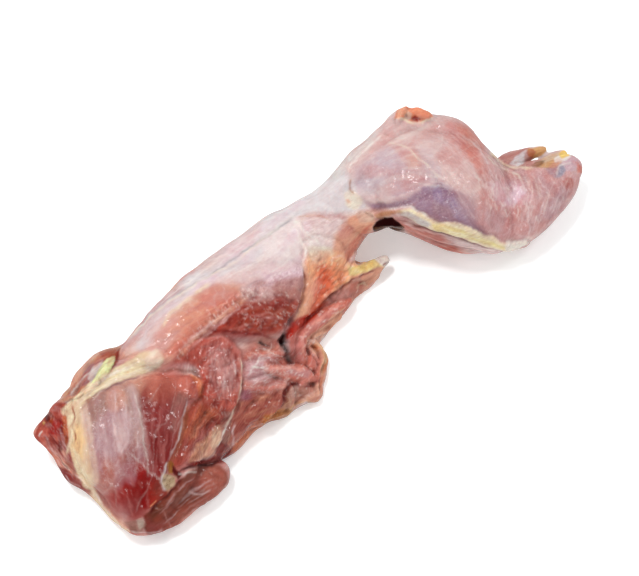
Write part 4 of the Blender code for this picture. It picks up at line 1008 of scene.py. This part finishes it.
def add_camera():
    """The photograph's camera, as the one that the picture is made with."""
    camera = bpy.data.objects.new("camera", bpy.data.cameras.new("camera"))
    camera.data.sensor_width = SENSOR
    camera.data.lens = SENSOR * FOCAL_PIXELS / PHOTO_WIDTH
    camera.location = EYE
    camera.rotation_euler = BACK.to_track_quat("Z", "Y").to_euler()
    bpy.context.scene.collection.objects.link(camera)
    bpy.context.scene.camera = camera


def pixels_of(points):
    """Where the photograph's camera sees the points."""
    away = points - np.array(EYE)
    depth = -(away @ np.array(BACK))
    x = PHOTO_WIDTH / 2 + FOCAL_PIXELS * (away @ np.array(RIGHT)) / depth
    y = PHOTO_HEIGHT / 2 - FOCAL_PIXELS * (away @ np.array(UP)) / depth
    return np.stack([x, y], axis=1)


def ray_through(x, y):
    """The direction from the camera through a pixel."""
    ray = (
        RIGHT * ((x - PHOTO_WIDTH / 2) / FOCAL_PIXELS)
        + UP * ((PHOTO_HEIGHT / 2 - y) / FOCAL_PIXELS) - BACK
    )
    return ray.normalized()


def screen(colour):
    """A colour as the screen shows it, turned into the linear values that shaders use."""
    share = np.array(colour) / 255
    linear = np.where(share <= 0.04045, share / 12.92, ((share + 0.055) / 1.055) ** 2.4)
    return np.maximum(linear * EXPOSURE - DIM, LEAST_LIGHT)


def seed_of(name):
    """The seed for the random draws of a named row."""
    return sum(map(ord, name))


def smoothstep(x):
    """0 below 0, 1 above 1, and a smooth rise between them."""
    x = np.clip(x, 0, 1)
    return x * x * (3 - 2 * x)


def lean(values, where, target, share):
    """Draws the values there that share of the way to the target."""
    values[where] += (target - values[where]) * share


def waves(points, size, seed, count=20):
    """Smooth noise about -1 to 1, with features of that size."""
    dice = np.random.default_rng(seed)
    total = np.zeros(len(points))
    for _ in range(count):
        direction = dice.normal(size=points.shape[1])
        direction /= np.linalg.norm(direction)
        pitch = 2 * math.pi / (size * dice.uniform(1.4, 3.0))
        total += np.sin(points @ direction * pitch + dice.uniform(0, 2 * math.pi))
    return total / math.sqrt(count)


def ripples(name, spots, direction, length, pitch):
    """Waves over spots in pixels, with crests that long along a direction and that far apart."""
    a = math.radians(direction)
    along = (spots[:, 0] * math.cos(a) - spots[:, 1] * math.sin(a)) / length
    across = (spots[:, 0] * math.sin(a) + spots[:, 1] * math.cos(a)) / pitch
    return waves(np.stack([along, across], axis=1), 1.0, seed_of(name))


def rounded(path, step=PATH_STEP):
    """A path through the same places with its corners rounded, as points about step apart."""
    rows = np.array(path, float)
    padded = np.vstack([2 * rows[0] - rows[1], rows, 2 * rows[-1] - rows[-2]])
    read = []
    for a, b, c, d in zip(padded, padded[1:], padded[2:], padded[3:]):
        count = max(1, int(np.linalg.norm((c - b)[:2]) / step))
        for t in np.arange(count) / count:
            read.append(0.5 * (2 * b + (c - a) * t + (2 * a - 5 * b + 4 * c - d) * t**2
                               + (3 * b - a - 3 * c + d) * t**3))
    read.append(rows[-1])
    return np.array(read)


def along_path(path, count):
    """That many places, evenly spaced along a path."""
    rows = rounded(path)
    gone = np.concatenate([[0], np.cumsum(np.linalg.norm(np.diff(rows, axis=0), axis=1))])
    at = np.linspace(0, gone[-1], count)
    return np.stack([np.interp(at, gone, rows[:, i]) for i in range(rows.shape[1])], axis=1)


def to_line(spots, line):
    """Each spot's distance from a line of places and its share of the way along it."""
    best = np.full(len(spots), 1e9)
    share = np.zeros(len(spots))
    last = max(1, len(line) - 1)
    for i, (a, b) in enumerate(zip(line, line[1:])):
        along = b - a
        t = np.clip((spots - a) @ along / max(along @ along, 1e-12), 0, 1)
        away = np.linalg.norm(spots - a - t[:, None] * along, axis=1)
        closer = away < best
        best[closer] = away[closer]
        share[closer] = (i + t[closer]) / last
    return best, share


def inside(spots, outline):
    """How far each spot is inside a closed outline, in pixels, and negative outside.

    The depth is measured at the nodes of a grid and read between them.
    """
    if len(spots) == 0:
        return np.zeros(0)
    ring = rounded(list(outline) + [outline[0]], OUTLINE_STEP)
    low = spots.min(axis=0) - GRID
    columns, rows = ((spots.max(axis=0) - low) / GRID).astype(int) + 2
    nodes = low + GRID * np.stack(np.meshgrid(np.arange(columns), np.arange(rows)), axis=2).reshape(-1, 2)
    away, _ = to_line(nodes, ring)
    within = np.zeros(len(nodes), bool)
    x, y = nodes.T
    for (ax, ay), (bx, by) in zip(ring, ring[1:]):
        if ay != by:
            between = (ay > y) != (by > y)
            within ^= between & (x < (bx - ax) * (y - ay) / (by - ay) + ax)
    depth = np.where(within, away, -away).reshape(rows, columns)
    steps = (spots - low) / GRID
    j, i = steps.astype(int).T
    s, t = (steps - steps.astype(int)).T
    top = depth[i, j] * (1 - s) + depth[i, j + 1] * s
    return top * (1 - t) + (depth[i + 1, j] * (1 - s) + depth[i + 1, j + 1] * s) * t


def ring_of(centre, tangent, radius, flatness):
    """The points of one ring of a roll, flattened toward the camera."""
    side = np.cross(tangent, np.array(BACK))
    side /= np.linalg.norm(side)
    top = np.cross(side, tangent) * flatness
    turns = np.arange(ROPE_SIDES) * 2 * math.pi / ROPE_SIDES
    return centre + radius * (np.outer(np.cos(turns), side) + np.outer(np.sin(turns), top))


def rope(tree, path, flatness):
    """A roll with round ends that lies on the solid: its points and faces."""
    centres, radii = [], []
    for x, y, radius, lift in rounded(path, ROPE_STEP):
        hit = tree.ray_cast(EYE, ray_through(x, y))[0]
        if hit is not None:
            centres.append(np.array(hit + BACK * lift * MM))
            radii.append(radius * MM)
    centres = np.array(centres)
    for _ in range(3):
        centres[1:-1] = (centres[:-2] + 2 * centres[1:-1] + centres[2:]) / 4
    tangents = np.gradient(centres, axis=0)
    tangents /= np.linalg.norm(tangents, axis=1)[:, None]
    stations = list(zip(centres, tangents, radii))
    for angle in ROPE_END_ANGLES:
        out, narrow = math.sin(math.radians(angle)), math.cos(math.radians(angle))
        stations.insert(0, (centres[0] - tangents[0] * radii[0] * out, tangents[0], radii[0] * narrow))
        stations.append((centres[-1] + tangents[-1] * radii[-1] * out, tangents[-1], radii[-1] * narrow))
    rings = [ring_of(*station, flatness) for station in stations]
    last = (len(rings) - 1) * ROPE_SIDES
    faces = [tuple(reversed(range(ROPE_SIDES)))]
    for low in range(0, last, ROPE_SIDES):
        high = low + ROPE_SIDES
        for j in range(ROPE_SIDES):
            k = (j + 1) % ROPE_SIDES
            faces.append((low + j, low + k, high + k, high + j))
    faces.append(tuple(range(last, last + ROPE_SIDES)))
    return np.concatenate(rings), faces


def clay(node):
    """The solid's mesh with the ropes laid on it, as one mesh of overlapping closed shells."""
    mesh = node.data
    points = [node.matrix_world @ v.co for v in mesh.vertices]
    faces = [tuple(p.vertices) for p in mesh.polygons]
    tree = BVHTree.FromPolygons(points, faces)
    points = [tuple(p) for p in points]
    for _, flatness, path in ROPES:
        more_points, more_faces = rope(tree, path, flatness)
        first = len(points)
        points += [tuple(p) for p in more_points]
        faces += [tuple(first + i for i in face) for face in more_faces]
    joined = bpy.data.meshes.new("skin")
    joined.from_pydata(points, [], faces)
    return joined


class Skin:
    """The visible mesh, with its points, normals and painted values as arrays.

    painted is 1 where the photograph's camera sees the skin and falls to 0 over the hidden sides.
    pixels is where the camera sees each point, and warped the same with a shake that keeps the edges
    of painted areas from looking drawn.
    """

    def __init__(self, node):
        self.obj = bpy.data.objects.new("skin", clay(node))
        bpy.context.scene.collection.objects.link(self.obj)
        self.merge_shells()
        self.read_edges()
        self.refresh()
        self.meet_outline()
        self.find_seen()
        self.pixels = pixels_of(self.points)
        self.cover = self.painted + GHOST * (1 - self.painted)
        self.warped = self.shaken(self.pixels)
        self.order = np.argsort(self.warped[:, 0])
        self.sorted_x = self.warped[self.order, 0]
        count = len(self.points)
        self.grain = self.points / MM * (GRAIN_LENGTH, 1, 1)
        self.fibre = np.full(count, 0.5)
        self.tint = np.zeros((count, 3))
        self.fat = np.zeros(count)
        self.wet = np.full(count, WETNESS)
        self.veil = np.zeros(count)

    def merge_shells(self):
        """Makes one smooth mesh of small even faces from the overlapping shells."""
        remesh = self.obj.modifiers.new("remesh", "REMESH")
        remesh.mode = "VOXEL"
        remesh.voxel_size = SKIN_VOXEL * MM
        smooth = self.obj.modifiers.new("smooth", "SMOOTH")
        smooth.iterations = SKIN_SMOOTHING
        graph = bpy.context.evaluated_depsgraph_get()
        self.obj.data = bpy.data.meshes.new_from_object(self.obj.evaluated_get(graph))
        self.obj.modifiers.clear()

    def read_edges(self):
        """Reads which points each edge joins, and how many edges each point has."""
        mesh = self.obj.data
        ends = np.empty(len(mesh.edges) * 2, int)
        mesh.edges.foreach_get("vertices", ends)
        self.ends = ends.reshape(-1, 2)
        self.degree = np.bincount(ends, minlength=len(mesh.vertices)).astype(float)

    def refresh(self):
        """Reads the points and normals from the mesh."""
        mesh = self.obj.data
        flat = np.empty(len(mesh.vertices) * 3)
        mesh.vertices.foreach_get("co", flat)
        self.points = flat.reshape(-1, 3).copy()
        mesh.vertex_normals.foreach_get("vector", flat)
        self.normals = flat.reshape(-1, 3).copy()

    def move(self, steps):
        """Moves each point by its own step."""
        self.points += steps
        self.obj.data.vertices.foreach_set("co", self.points.ravel())
        self.obj.data.update()
        self.refresh()

    def meet_outline(self):
        """Draws the skin, level with the floor, to the photograph's outline."""
        spots = pixels_of(self.points)
        total = np.full(len(spots), PULL_REST)
        pulls = np.zeros((len(spots), 2))
        for _, x, y, dx, dy in PULLS:
            weight = np.exp(-((spots - (x, y)) ** 2).sum(1) / PULL_REACH ** 2)
            total += weight
            pulls += weight[:, None] * (dx, dy)
        pulls /= total[:, None] * PIXELS_PER_METRE
        nearer = np.array(Vector((BACK.x, BACK.y, 0)).normalized()) / math.sin(ELEVATION)
        self.move(pulls[:, :1] * np.array(RIGHT) + pulls[:, 1:] * nearer)

    def find_seen(self):
        """Finds what the camera sees, and lets it run on over the hidden sides."""
        tree = BVHTree.FromPolygons(
            [Vector(p) for p in self.points], [tuple(p.vertices) for p in self.obj.data.polygons]
        )
        to_eye = np.array(EYE) - self.points
        to_eye /= np.linalg.norm(to_eye, axis=1)[:, None]
        facing = (self.normals * to_eye).sum(1)
        self.painted = np.zeros(len(self.points))
        for i in np.nonzero(facing > LEAST_FACING)[0]:
            start = Vector(self.points[i] + self.normals[i] * SIGHT_START)
            if tree.ray_cast(start, Vector(to_eye[i]), SIGHT_REACH)[0] is None:
                self.painted[i] = 1
        for _ in range(SEEN_SPREAD):
            self.painted = np.maximum(self.painted, self.blur(self.painted))

    def shaken(self, pixels):
        """The pixels with a fine shake, and with a wide drift on the hidden sides."""
        shake = [waves(pixels, 7, seed) + 0.4 * waves(pixels, 3, seed + 1) for seed in (11, 13)]
        drift = [waves(self.points / MM, 12, seed) for seed in (15, 16)]
        hidden = 1 - self.painted
        return pixels + np.stack(shake, axis=1) * WARP + np.stack(drift, axis=1) * DRIFT * hidden[:, None]

    def blur(self, values):
        """The mean of each point's neighbours."""
        a, b = self.ends.T
        if values.ndim == 1:
            total = np.bincount(a, values[b], len(values)) + np.bincount(b, values[a], len(values))
            return total / np.maximum(self.degree, 1)
        return np.stack([self.blur(values[:, i]) for i in range(values.shape[1])], axis=1)

    def near(self, path, margin):
        """The indices of the points about a path in pixels."""
        low, high = np.min(path, axis=0)[:2] - margin, np.max(path, axis=0)[:2] + margin
        first, last = np.searchsorted(self.sorted_x, (low[0], high[0]))
        found = self.order[first:last]
        y = self.warped[found, 1]
        return found[(y > low[1]) & (y < high[1])]

    def patch(self, outline, edge, margin):
        """The points about an outline, and 0 to 1 as they go in over its soft edge."""
        where = self.near(outline, margin)
        return where, smoothstep(inside(self.warped[where], outline) / edge + 0.5)

    def stroke(self, path, width, taper=0, spread=1.0):
        """The points about a path, and 1 on it falling to 0 beside it.

        A taper of 5 thins the stroke over the fifth of its length next to each end, and spread is how
        many of its half widths it takes to fall off.
        """
        where = self.near(path, width * STROKE_REACH)
        away, gone = to_line(self.warped[where], path)
        share = np.exp(-(away / (width * spread)) ** 2)
        if taper:
            share *= smoothstep(gone * taper) * smoothstep((1 - gone) * taper)
        return where, share

    def blend(self, where, colour, share, hidden=True):
        """Paints a colour. The two darkest colours, which paint shadow and shade, and any with hidden off,
        stay on what is seen.
        """
        cover = self.cover if hidden and colour not in (SHADOW_BLACK, SHADE_DARK) else self.painted
        lean(self.tint, where, screen(colour), (share * cover[where])[:, None])


def strands():
    """Each strand of the bundles: its path, colour, strength, height and half width. Light strands are
    raised and dark ones sunk, as painted highlight and shade over the fibres' own tones.
    """
    for name, light, dark, count, width, height, span, first, second in BUNDLES:
        dice = np.random.default_rng(seed_of(name))
        a, b = along_path(first, STRAND_PLACES), along_path(second, STRAND_PLACES)
        last = STRAND_PLACES - 1
        for i in range(count):
            t = (i + dice.uniform(0.1, 0.9)) / count
            path = a * (1 - t) + b * t
            length = span * dice.uniform(0.5, 1.0)
            start = dice.uniform(0, 1 - length) if length < 1 else 0
            low, high = int(start * last), max(int((start + length) * last), int(start * last) + 3)
            path = path[low:high + 1] + dice.normal(0, 0.6, 2)
            colour, sign = (light, 1) if dice.uniform() < 0.5 else (dark, -1)
            strength = dice.uniform(0.3, 1.0)
            relief = sign * strength * height * BUNDLE_RELIEF
            yield path, colour, strength * STRAND_SHARE, relief, width * dice.uniform(0.7, 1.5)


def flecks():
    """Each short stroke strewn over an outline: its path, colour, strength, height and half width."""
    for name, colour, strongest, count, length, width, direction, height, outline in FLECKS:
        dice = np.random.default_rng(seed_of(name))
        low, high = np.min(outline, axis=0), np.max(outline, axis=0)
        spots = dice.uniform(low, high, (count * 8, 2))
        for spot in spots[inside(spots, outline) > 0.5][:count]:
            a = math.radians(direction + dice.normal(0, 14))
            reach = length * dice.uniform(0.5, 1.3) / 2
            along = np.array([math.cos(a), -math.sin(a)]) * reach
            bow = np.array([along[1], -along[0]]) * dice.normal(0, 0.2)
            path = np.array([spot - along, spot + bow, spot + along])
            share = dice.uniform(0.4, 1.0)
            yield path, colour, strongest * share, height * share, width * dice.uniform(0.7, 1.4)


def set_grain(skin):
    """The direction of the fibres: places squeezed along them, for the material's fine streaks."""
    for name, direction, strength, outline in GRAINS:
        where = skin.near(outline, 4)
        where = where[inside(skin.warped[where], outline) > 0]
        a = math.radians(direction)
        along = np.array(RIGHT * math.cos(a) + UP * math.sin(a))
        spots = skin.points[where] / MM
        reach = (spots @ along)[:, None] * along
        skin.grain[where] = spots - reach * (1 - GRAIN_LENGTH) + seed_of(name)
        skin.fibre[where] = strength
    for _ in range(3):
        skin.fibre = skin.blur(skin.fibre)


def sculpt(skin):
    """Sheets that stand proud, folds, fibres and wrinkles, all as shape."""
    lift = np.zeros(len(skin.points))
    for _, height, edge, outline in LIFTS:
        where, share = skin.patch(outline, edge, edge * 2)
        lift[where] += height * share
    for _, _, _, width, height, path in LINES:
        where, share = skin.stroke(rounded(path), width, 6, 1.2)
        lift[where] += LINE_RELIEF * height * share
    for path, _, _, height, width in strands():
        where, share = skin.stroke(path, width, 4)
        lift[where] += height * share
    for path, _, _, height, width in flecks():
        where, share = skin.stroke(path, width, 0, 1.2)
        lift[where] += height * share
    for name, height, pitch, length, direction, outline in WRINKLES:
        where, share = skin.patch(outline, PATCH_EDGE, 6)
        crests = ripples(name, skin.warped[where], direction, length, pitch)
        lift[where] += WRINKLE_RELIEF * height * share * crests
    lift *= skin.painted
    stretched = skin.points / MM * (0.12, 0.5, 0.5)
    lift += (1 - skin.painted) * HIDDEN_RELIEF * waves(stretched, 3.0, 21)
    for _ in range(2):
        lift += (skin.blur(lift) - lift) * 0.5
    skin.move(skin.normals * (lift * MM)[:, None])


def paint_hidden(skin):
    """Colours of the sides that the photograph doesn't show, run on from those that it does."""
    points = skin.points / MM
    cloud = waves(points, 14, 31)
    fine = waves(points * (0.35, 1.2, 1.2), 5, 32)
    base = np.tile(screen(SALMON), (len(points), 1))
    for colour, share in (
        (ROSE, smoothstep(0.5 + 0.6 * cloud)),
        (BLUSH, 0.8 * smoothstep((points[:, 0] - 20) / 60)),
        (SILVER, 0.6 * smoothstep(0.4 + 0.5 * waves(points, 22, 33))),
        (BRICK, 0.5 * smoothstep((-points[:, 0] - 110) / 50) * smoothstep(0.5 + cloud)),
        (PEARL, 0.25 * smoothstep(fine)),
        (WINE, 0.2 * smoothstep(-fine)),
    ):
        base += (screen(colour) - base) * share[:, None]
    return base


def paint_areas(skin):
    """Areas of one colour, which also say where there is fat."""
    for _, colour, strength, edge, outline in AREAS:
        soft = edge * SOFT_EDGE if edge >= SOFT_FROM else edge
        where, share = skin.patch(outline, soft, edge * 3)
        skin.blend(where, colour, strength * share)
        lean(skin.fat, where, float(colour in FATTY), strength * share * skin.cover[where])


def paint_mottles(skin):
    """Blots and webs of thin lines."""
    for name, colour, strength, web, length, pitch, direction, outline in MOTTLES:
        where, share = skin.patch(outline, PATCH_EDGE, PATCH_EDGE)
        value = ripples(name, skin.warped[where], direction, length, pitch)
        pattern = np.exp(-(value / WEB_WIDTH) ** 2) if web else smoothstep(0.3 + 0.8 * value)
        skin.blend(where, colour, strength * pattern * share)


def paint_strokes(skin):
    """The colours of strands and flecks, where sculpt raises or sinks them, as painted highlights, glints
    and shade over the tones of fibres and fascia.
    """
    for path, colour, strength, _, width in strands():
        where, share = skin.stroke(path, width, 3, 1.1)
        skin.blend(where, colour, strength * share)
    for path, colour, strength, _, width in flecks():
        where, share = skin.stroke(path, width)
        skin.blend(where, colour, strength * share, False)


def set_films(skin):
    """How much fascia veils the muscle, with none where the tint is painted near black as shadow, and how
    wet the skin is.
    """
    for rows, values in ((VEILS, skin.veil), (WETS, skin.wet)):
        for _, strength, edge, outline in rows:
            where, share = skin.patch(outline, edge, edge)
            lean(values, where, strength, share)
    skin.veil *= np.clip(skin.tint.max(axis=1) / 0.05, 0, 1)


def paint_lines(skin):
    """Fine lines, thinned here and there along their way."""
    broken = np.clip(0.75 + 0.35 * waves(skin.pixels, 6, 41), 0, 1)
    for _, colour, strength, width, _, path in LINES:
        where, share = skin.stroke(rounded(path), width, 8, 1.1)
        skin.blend(where, colour, strength * broken[where] * share)


def paint(skin):
    """All colours in their order, run on over the hidden sides at the end."""
    skin.tint = paint_hidden(skin)
    paint_areas(skin)
    paint_mottles(skin)
    paint_strokes(skin)
    set_films(skin)
    paint_lines(skin)
    hidden = skin.painted < 0.5
    for _ in range(30):
        lean(skin.tint, hidden, skin.blur(skin.tint)[hidden], 0.5)


def shade_hollows(skin):
    """Paints shade into hollows, darker and redder, and paints light onto crests."""
    wide = skin.points
    for _ in range(8):
        wide = skin.blur(wide)
    hollow = ((wide - skin.points) * skin.normals).sum(1) / MM
    hollow = np.clip(hollow / 0.6, -1, 1)
    skin.tint *= np.where(hollow > 0, 1 - 0.45 * hollow, 1 - 0.1 * hollow)[:, None]
    skin.tint += (skin.tint * screen(SHADE_RED) * 1.6 - skin.tint) * (0.3 * np.clip(hollow, 0, 1))[:, None]


def store(skin):
    """Writes the painted values on the mesh as attributes that the material reads."""
    mesh = skin.obj.data
    tint = mesh.color_attributes.new("tint", "FLOAT_COLOR", "POINT")
    rgba = np.concatenate([np.clip(skin.tint, 0, 1), np.ones((len(skin.tint), 1))], axis=1)
    tint.data.foreach_set("color", rgba.ravel())
    for name in ("fat", "wet", "veil", "fibre"):
        mesh.attributes.new(name, "FLOAT", "POINT").data.foreach_set("value", getattr(skin, name))
    mesh.attributes.new("grain", "FLOAT_VECTOR", "POINT").data.foreach_set("vector", skin.grain.ravel())
    mesh.polygons.foreach_set("use_smooth", [True] * len(mesh.polygons))


class Nodes:
    """Short calls for building the node tree of a material or a world."""

    def __init__(self, owner, shader="Principled BSDF"):
        owner.use_nodes = True
        self.tree = owner.node_tree
        self.shader = self.tree.nodes[shader]

    def add(self, kind, inputs=None, **settings):
        node = self.tree.nodes.new(kind)
        for key, value in settings.items():
            setattr(node, key, value)
        for key, value in (inputs or {}).items():
            self.feed(node.inputs[key], value)
        return node

    def feed(self, socket, value):
        if isinstance(value, bpy.types.NodeSocket):
            self.tree.links.new(value, socket)
        else:
            socket.default_value = value

    def math(self, operation, *values, clamp=False):
        inputs = dict(enumerate(values))
        return self.add("ShaderNodeMath", inputs, operation=operation, use_clamp=clamp).outputs[0]

    def times(self, a, b):
        return self.math("MULTIPLY", a, b)

    def plus(self, a, b):
        return self.math("ADD", a, b)

    def noise(self, vector, scale, detail=3.0, rough=0.55):
        inputs = {"Vector": vector, "Scale": scale, "Detail": detail, "Roughness": rough}
        return self.add("ShaderNodeTexNoise", inputs).outputs[0]

    def mix(self, share, a, b, blend="MIX"):
        node = self.add("ShaderNodeMix", data_type="RGBA", blend_type=blend)
        for index, value in ((0, share), (6, a), (7, b)):
            self.feed(node.inputs[index], value)
        return node.outputs[2]

    def span(self, value, low, high, to_low=0.0, to_high=1.0):
        inputs = {"Value": value, "From Min": low, "From Max": high, "To Min": to_low, "To Max": to_high}
        return self.add("ShaderNodeMapRange", inputs, clamp=True).outputs[0]

    def attribute(self, name, output="Fac"):
        return self.add("ShaderNodeAttribute", attribute_name=name).outputs[output]

    def bump(self, strength, distance, height):
        inputs = {"Strength": strength, "Distance": distance, "Height": height}
        return self.add("ShaderNodeBump", inputs).outputs[0]

    def set(self, values):
        for name, value in values.items():
            self.shader.inputs[name].default_value = value


def meat_colour(nodes, place, tint, streak, fibre, veil):
    """The painted colour, uneven and streaked along the fibres, with a web and haze of fascia."""
    blotch = nodes.span(nodes.noise(place, 160.0, 4.0), 0.3, 0.7, 0.92, 1.08)
    spread = nodes.times(nodes.math("SUBTRACT", streak, 0.5), fibre)
    shade = nodes.times(blotch, nodes.plus(nodes.times(spread, 1.3), 1.0))
    channels = {i: nodes.math("POWER", shade, power) for i, power in enumerate((0.8, 1.3, 1.2))}
    shaded = nodes.add("ShaderNodeCombineColor", channels).outputs[0]
    colour = nodes.mix(1.0, tint, shaded, "MULTIPLY")
    web = nodes.math("ABSOLUTE", nodes.math("SUBTRACT", nodes.noise(place, 130.0, 4.0, 0.6), 0.5))
    web = nodes.span(web, 0.0, 0.035, 1.0, 0.0)
    haze = nodes.span(nodes.noise(place, 60.0, 5.0, 0.65), 0.4, 0.7)
    cover = nodes.plus(nodes.times(web, 0.45), nodes.times(haze, 0.4))
    share = nodes.math("MULTIPLY", cover, veil, clamp=True)
    return nodes.mix(share, colour, (*screen(FASCIA), 1.0))


def meat_material():
    """The painted colour with fine streaks and fascia over it, under a film of water."""
    material = bpy.data.materials.new("meat")
    nodes = Nodes(material)
    place = nodes.add("ShaderNodeTexCoord").outputs["Object"]
    tint = nodes.attribute("tint", "Color")
    grain = nodes.attribute("grain", "Vector")
    fat, fibre, veil, wet = map(nodes.attribute, ("fat", "fibre", "veil", "wet"))
    streak = nodes.noise(grain, 0.75, 3.0, 0.6)
    nodes.feed(nodes.shader.inputs["Base Color"], meat_colour(nodes, place, tint, streak, fibre, veil))
    nodes.feed(nodes.shader.inputs["Roughness"], nodes.span(fat, 0.0, 1.0, 0.4, 0.5))
    ripple = nodes.plus(nodes.times(nodes.noise(place, 420.0, 3.0), 0.6), nodes.times(streak, fibre))
    nodes.feed(nodes.shader.inputs["Normal"], nodes.bump(0.6, 0.001, ripple))
    # The wet film: low waves that break the lamps into glints, and none where the tint is painted near black
    # as shadow
    shimmer = nodes.plus(nodes.noise(place, 150.0, 1.0), nodes.times(nodes.noise(grain, 0.16, 1.0), 0.5))
    nodes.feed(nodes.shader.inputs["Coat Normal"], nodes.bump(0.8, 0.0014, shimmer))
    lit = nodes.span(nodes.add("ShaderNodeSeparateColor", {"Color": tint}).outputs[0], 0.02, 0.06)
    film = nodes.times(wet, nodes.span(fat, 0, 1, 1, 0.5))
    nodes.feed(nodes.shader.inputs["Coat Weight"], nodes.times(lit, film))
    nodes.set({
        "Specular IOR Level": 0.0, "Coat IOR": 1.3, "Coat Roughness": 0.14,
        "Subsurface Weight": 0.2, "Subsurface Radius": (1.0, 0.35, 0.25), "Subsurface Scale": 0.002,
    })
    return material


def add_floor():
    """The white ground, which glows a little so that it stays white in the picture."""
    bpy.ops.mesh.primitive_plane_add(size=8, location=(0, 0, 0))
    floor = bpy.context.object
    floor.name = "floor"
    material = bpy.data.materials.new("floor")
    Nodes(material).set({
        "Base Color": (0.9, 0.94, 0.94, 1), "Roughness": 0.8,
        "Emission Color": (1, 1, 1, 1), "Emission Strength": FLOOR_GLOW,
    })
    floor.data.materials.append(material)
    floor.visible_glossy = False


def add_lamp(name, place, size, watts):
    """A square lamp that faces the rabbit."""
    lamp = bpy.data.objects.new(name, bpy.data.lights.new(name, "AREA"))
    lamp.data.size = size
    lamp.data.energy = watts
    lamp.location = place
    lamp.rotation_euler = (Vector(place) - AIM).to_track_quat("Z", "Y").to_euler()
    bpy.context.scene.collection.objects.link(lamp)
    return lamp


def add_light():
    """A white sky that glossy rays see darker, three lamps, and small ones that only make glints."""
    world = bpy.data.worlds.new("world")
    nodes = Nodes(world, "Background")
    nodes.set({"Color": (1, 1, 1, 1)})
    glossy = nodes.add("ShaderNodeLightPath").outputs["Is Glossy Ray"]
    nodes.feed(nodes.shader.inputs["Strength"], nodes.math("MULTIPLY_ADD", glossy, -SKY_GLOSS_LOSS, SKY))
    bpy.context.scene.world = world
    above = Vector((0, 0, 1))
    for name, right, up, height, size, watts in LAMPS:
        add_lamp(name, tuple(AIM + RIGHT * right + UP * up + above * height), size, watts)
    for turn in range(SPARKS):
        a = turn * SPARK_TURN
        front = 1 - SPARK_SPREAD * (turn + 1) / SPARKS
        side = RIGHT * math.cos(a) + UP * math.sin(a)
        place = AIM + (BACK * front + side * math.sqrt(1 - front ** 2)) * SPARK_REACH
        place.z = max(place.z, SPARK_LEAST_HEIGHT)
        spark = add_lamp("spark_" + str(turn), tuple(place), SPARK_SIZE, SPARK_WATTS)
        spark.visible_diffuse = False
    bpy.context.scene.view_settings.view_transform = "Standard"


def main():
    """Builds the skin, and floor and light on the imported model."""
    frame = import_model()
    add_camera()
    skin = Skin(frame["nodes"]["rabbit"])
    set_grain(skin)
    sculpt(skin)
    paint(skin)
    shade_hollows(skin)
    store(skin)
    skin.obj.data.materials.clear()
    skin.obj.data.materials.append(meat_material())
    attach(skin.obj, "root")
    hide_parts("rabbit")
    add_floor()
    add_light()


main()
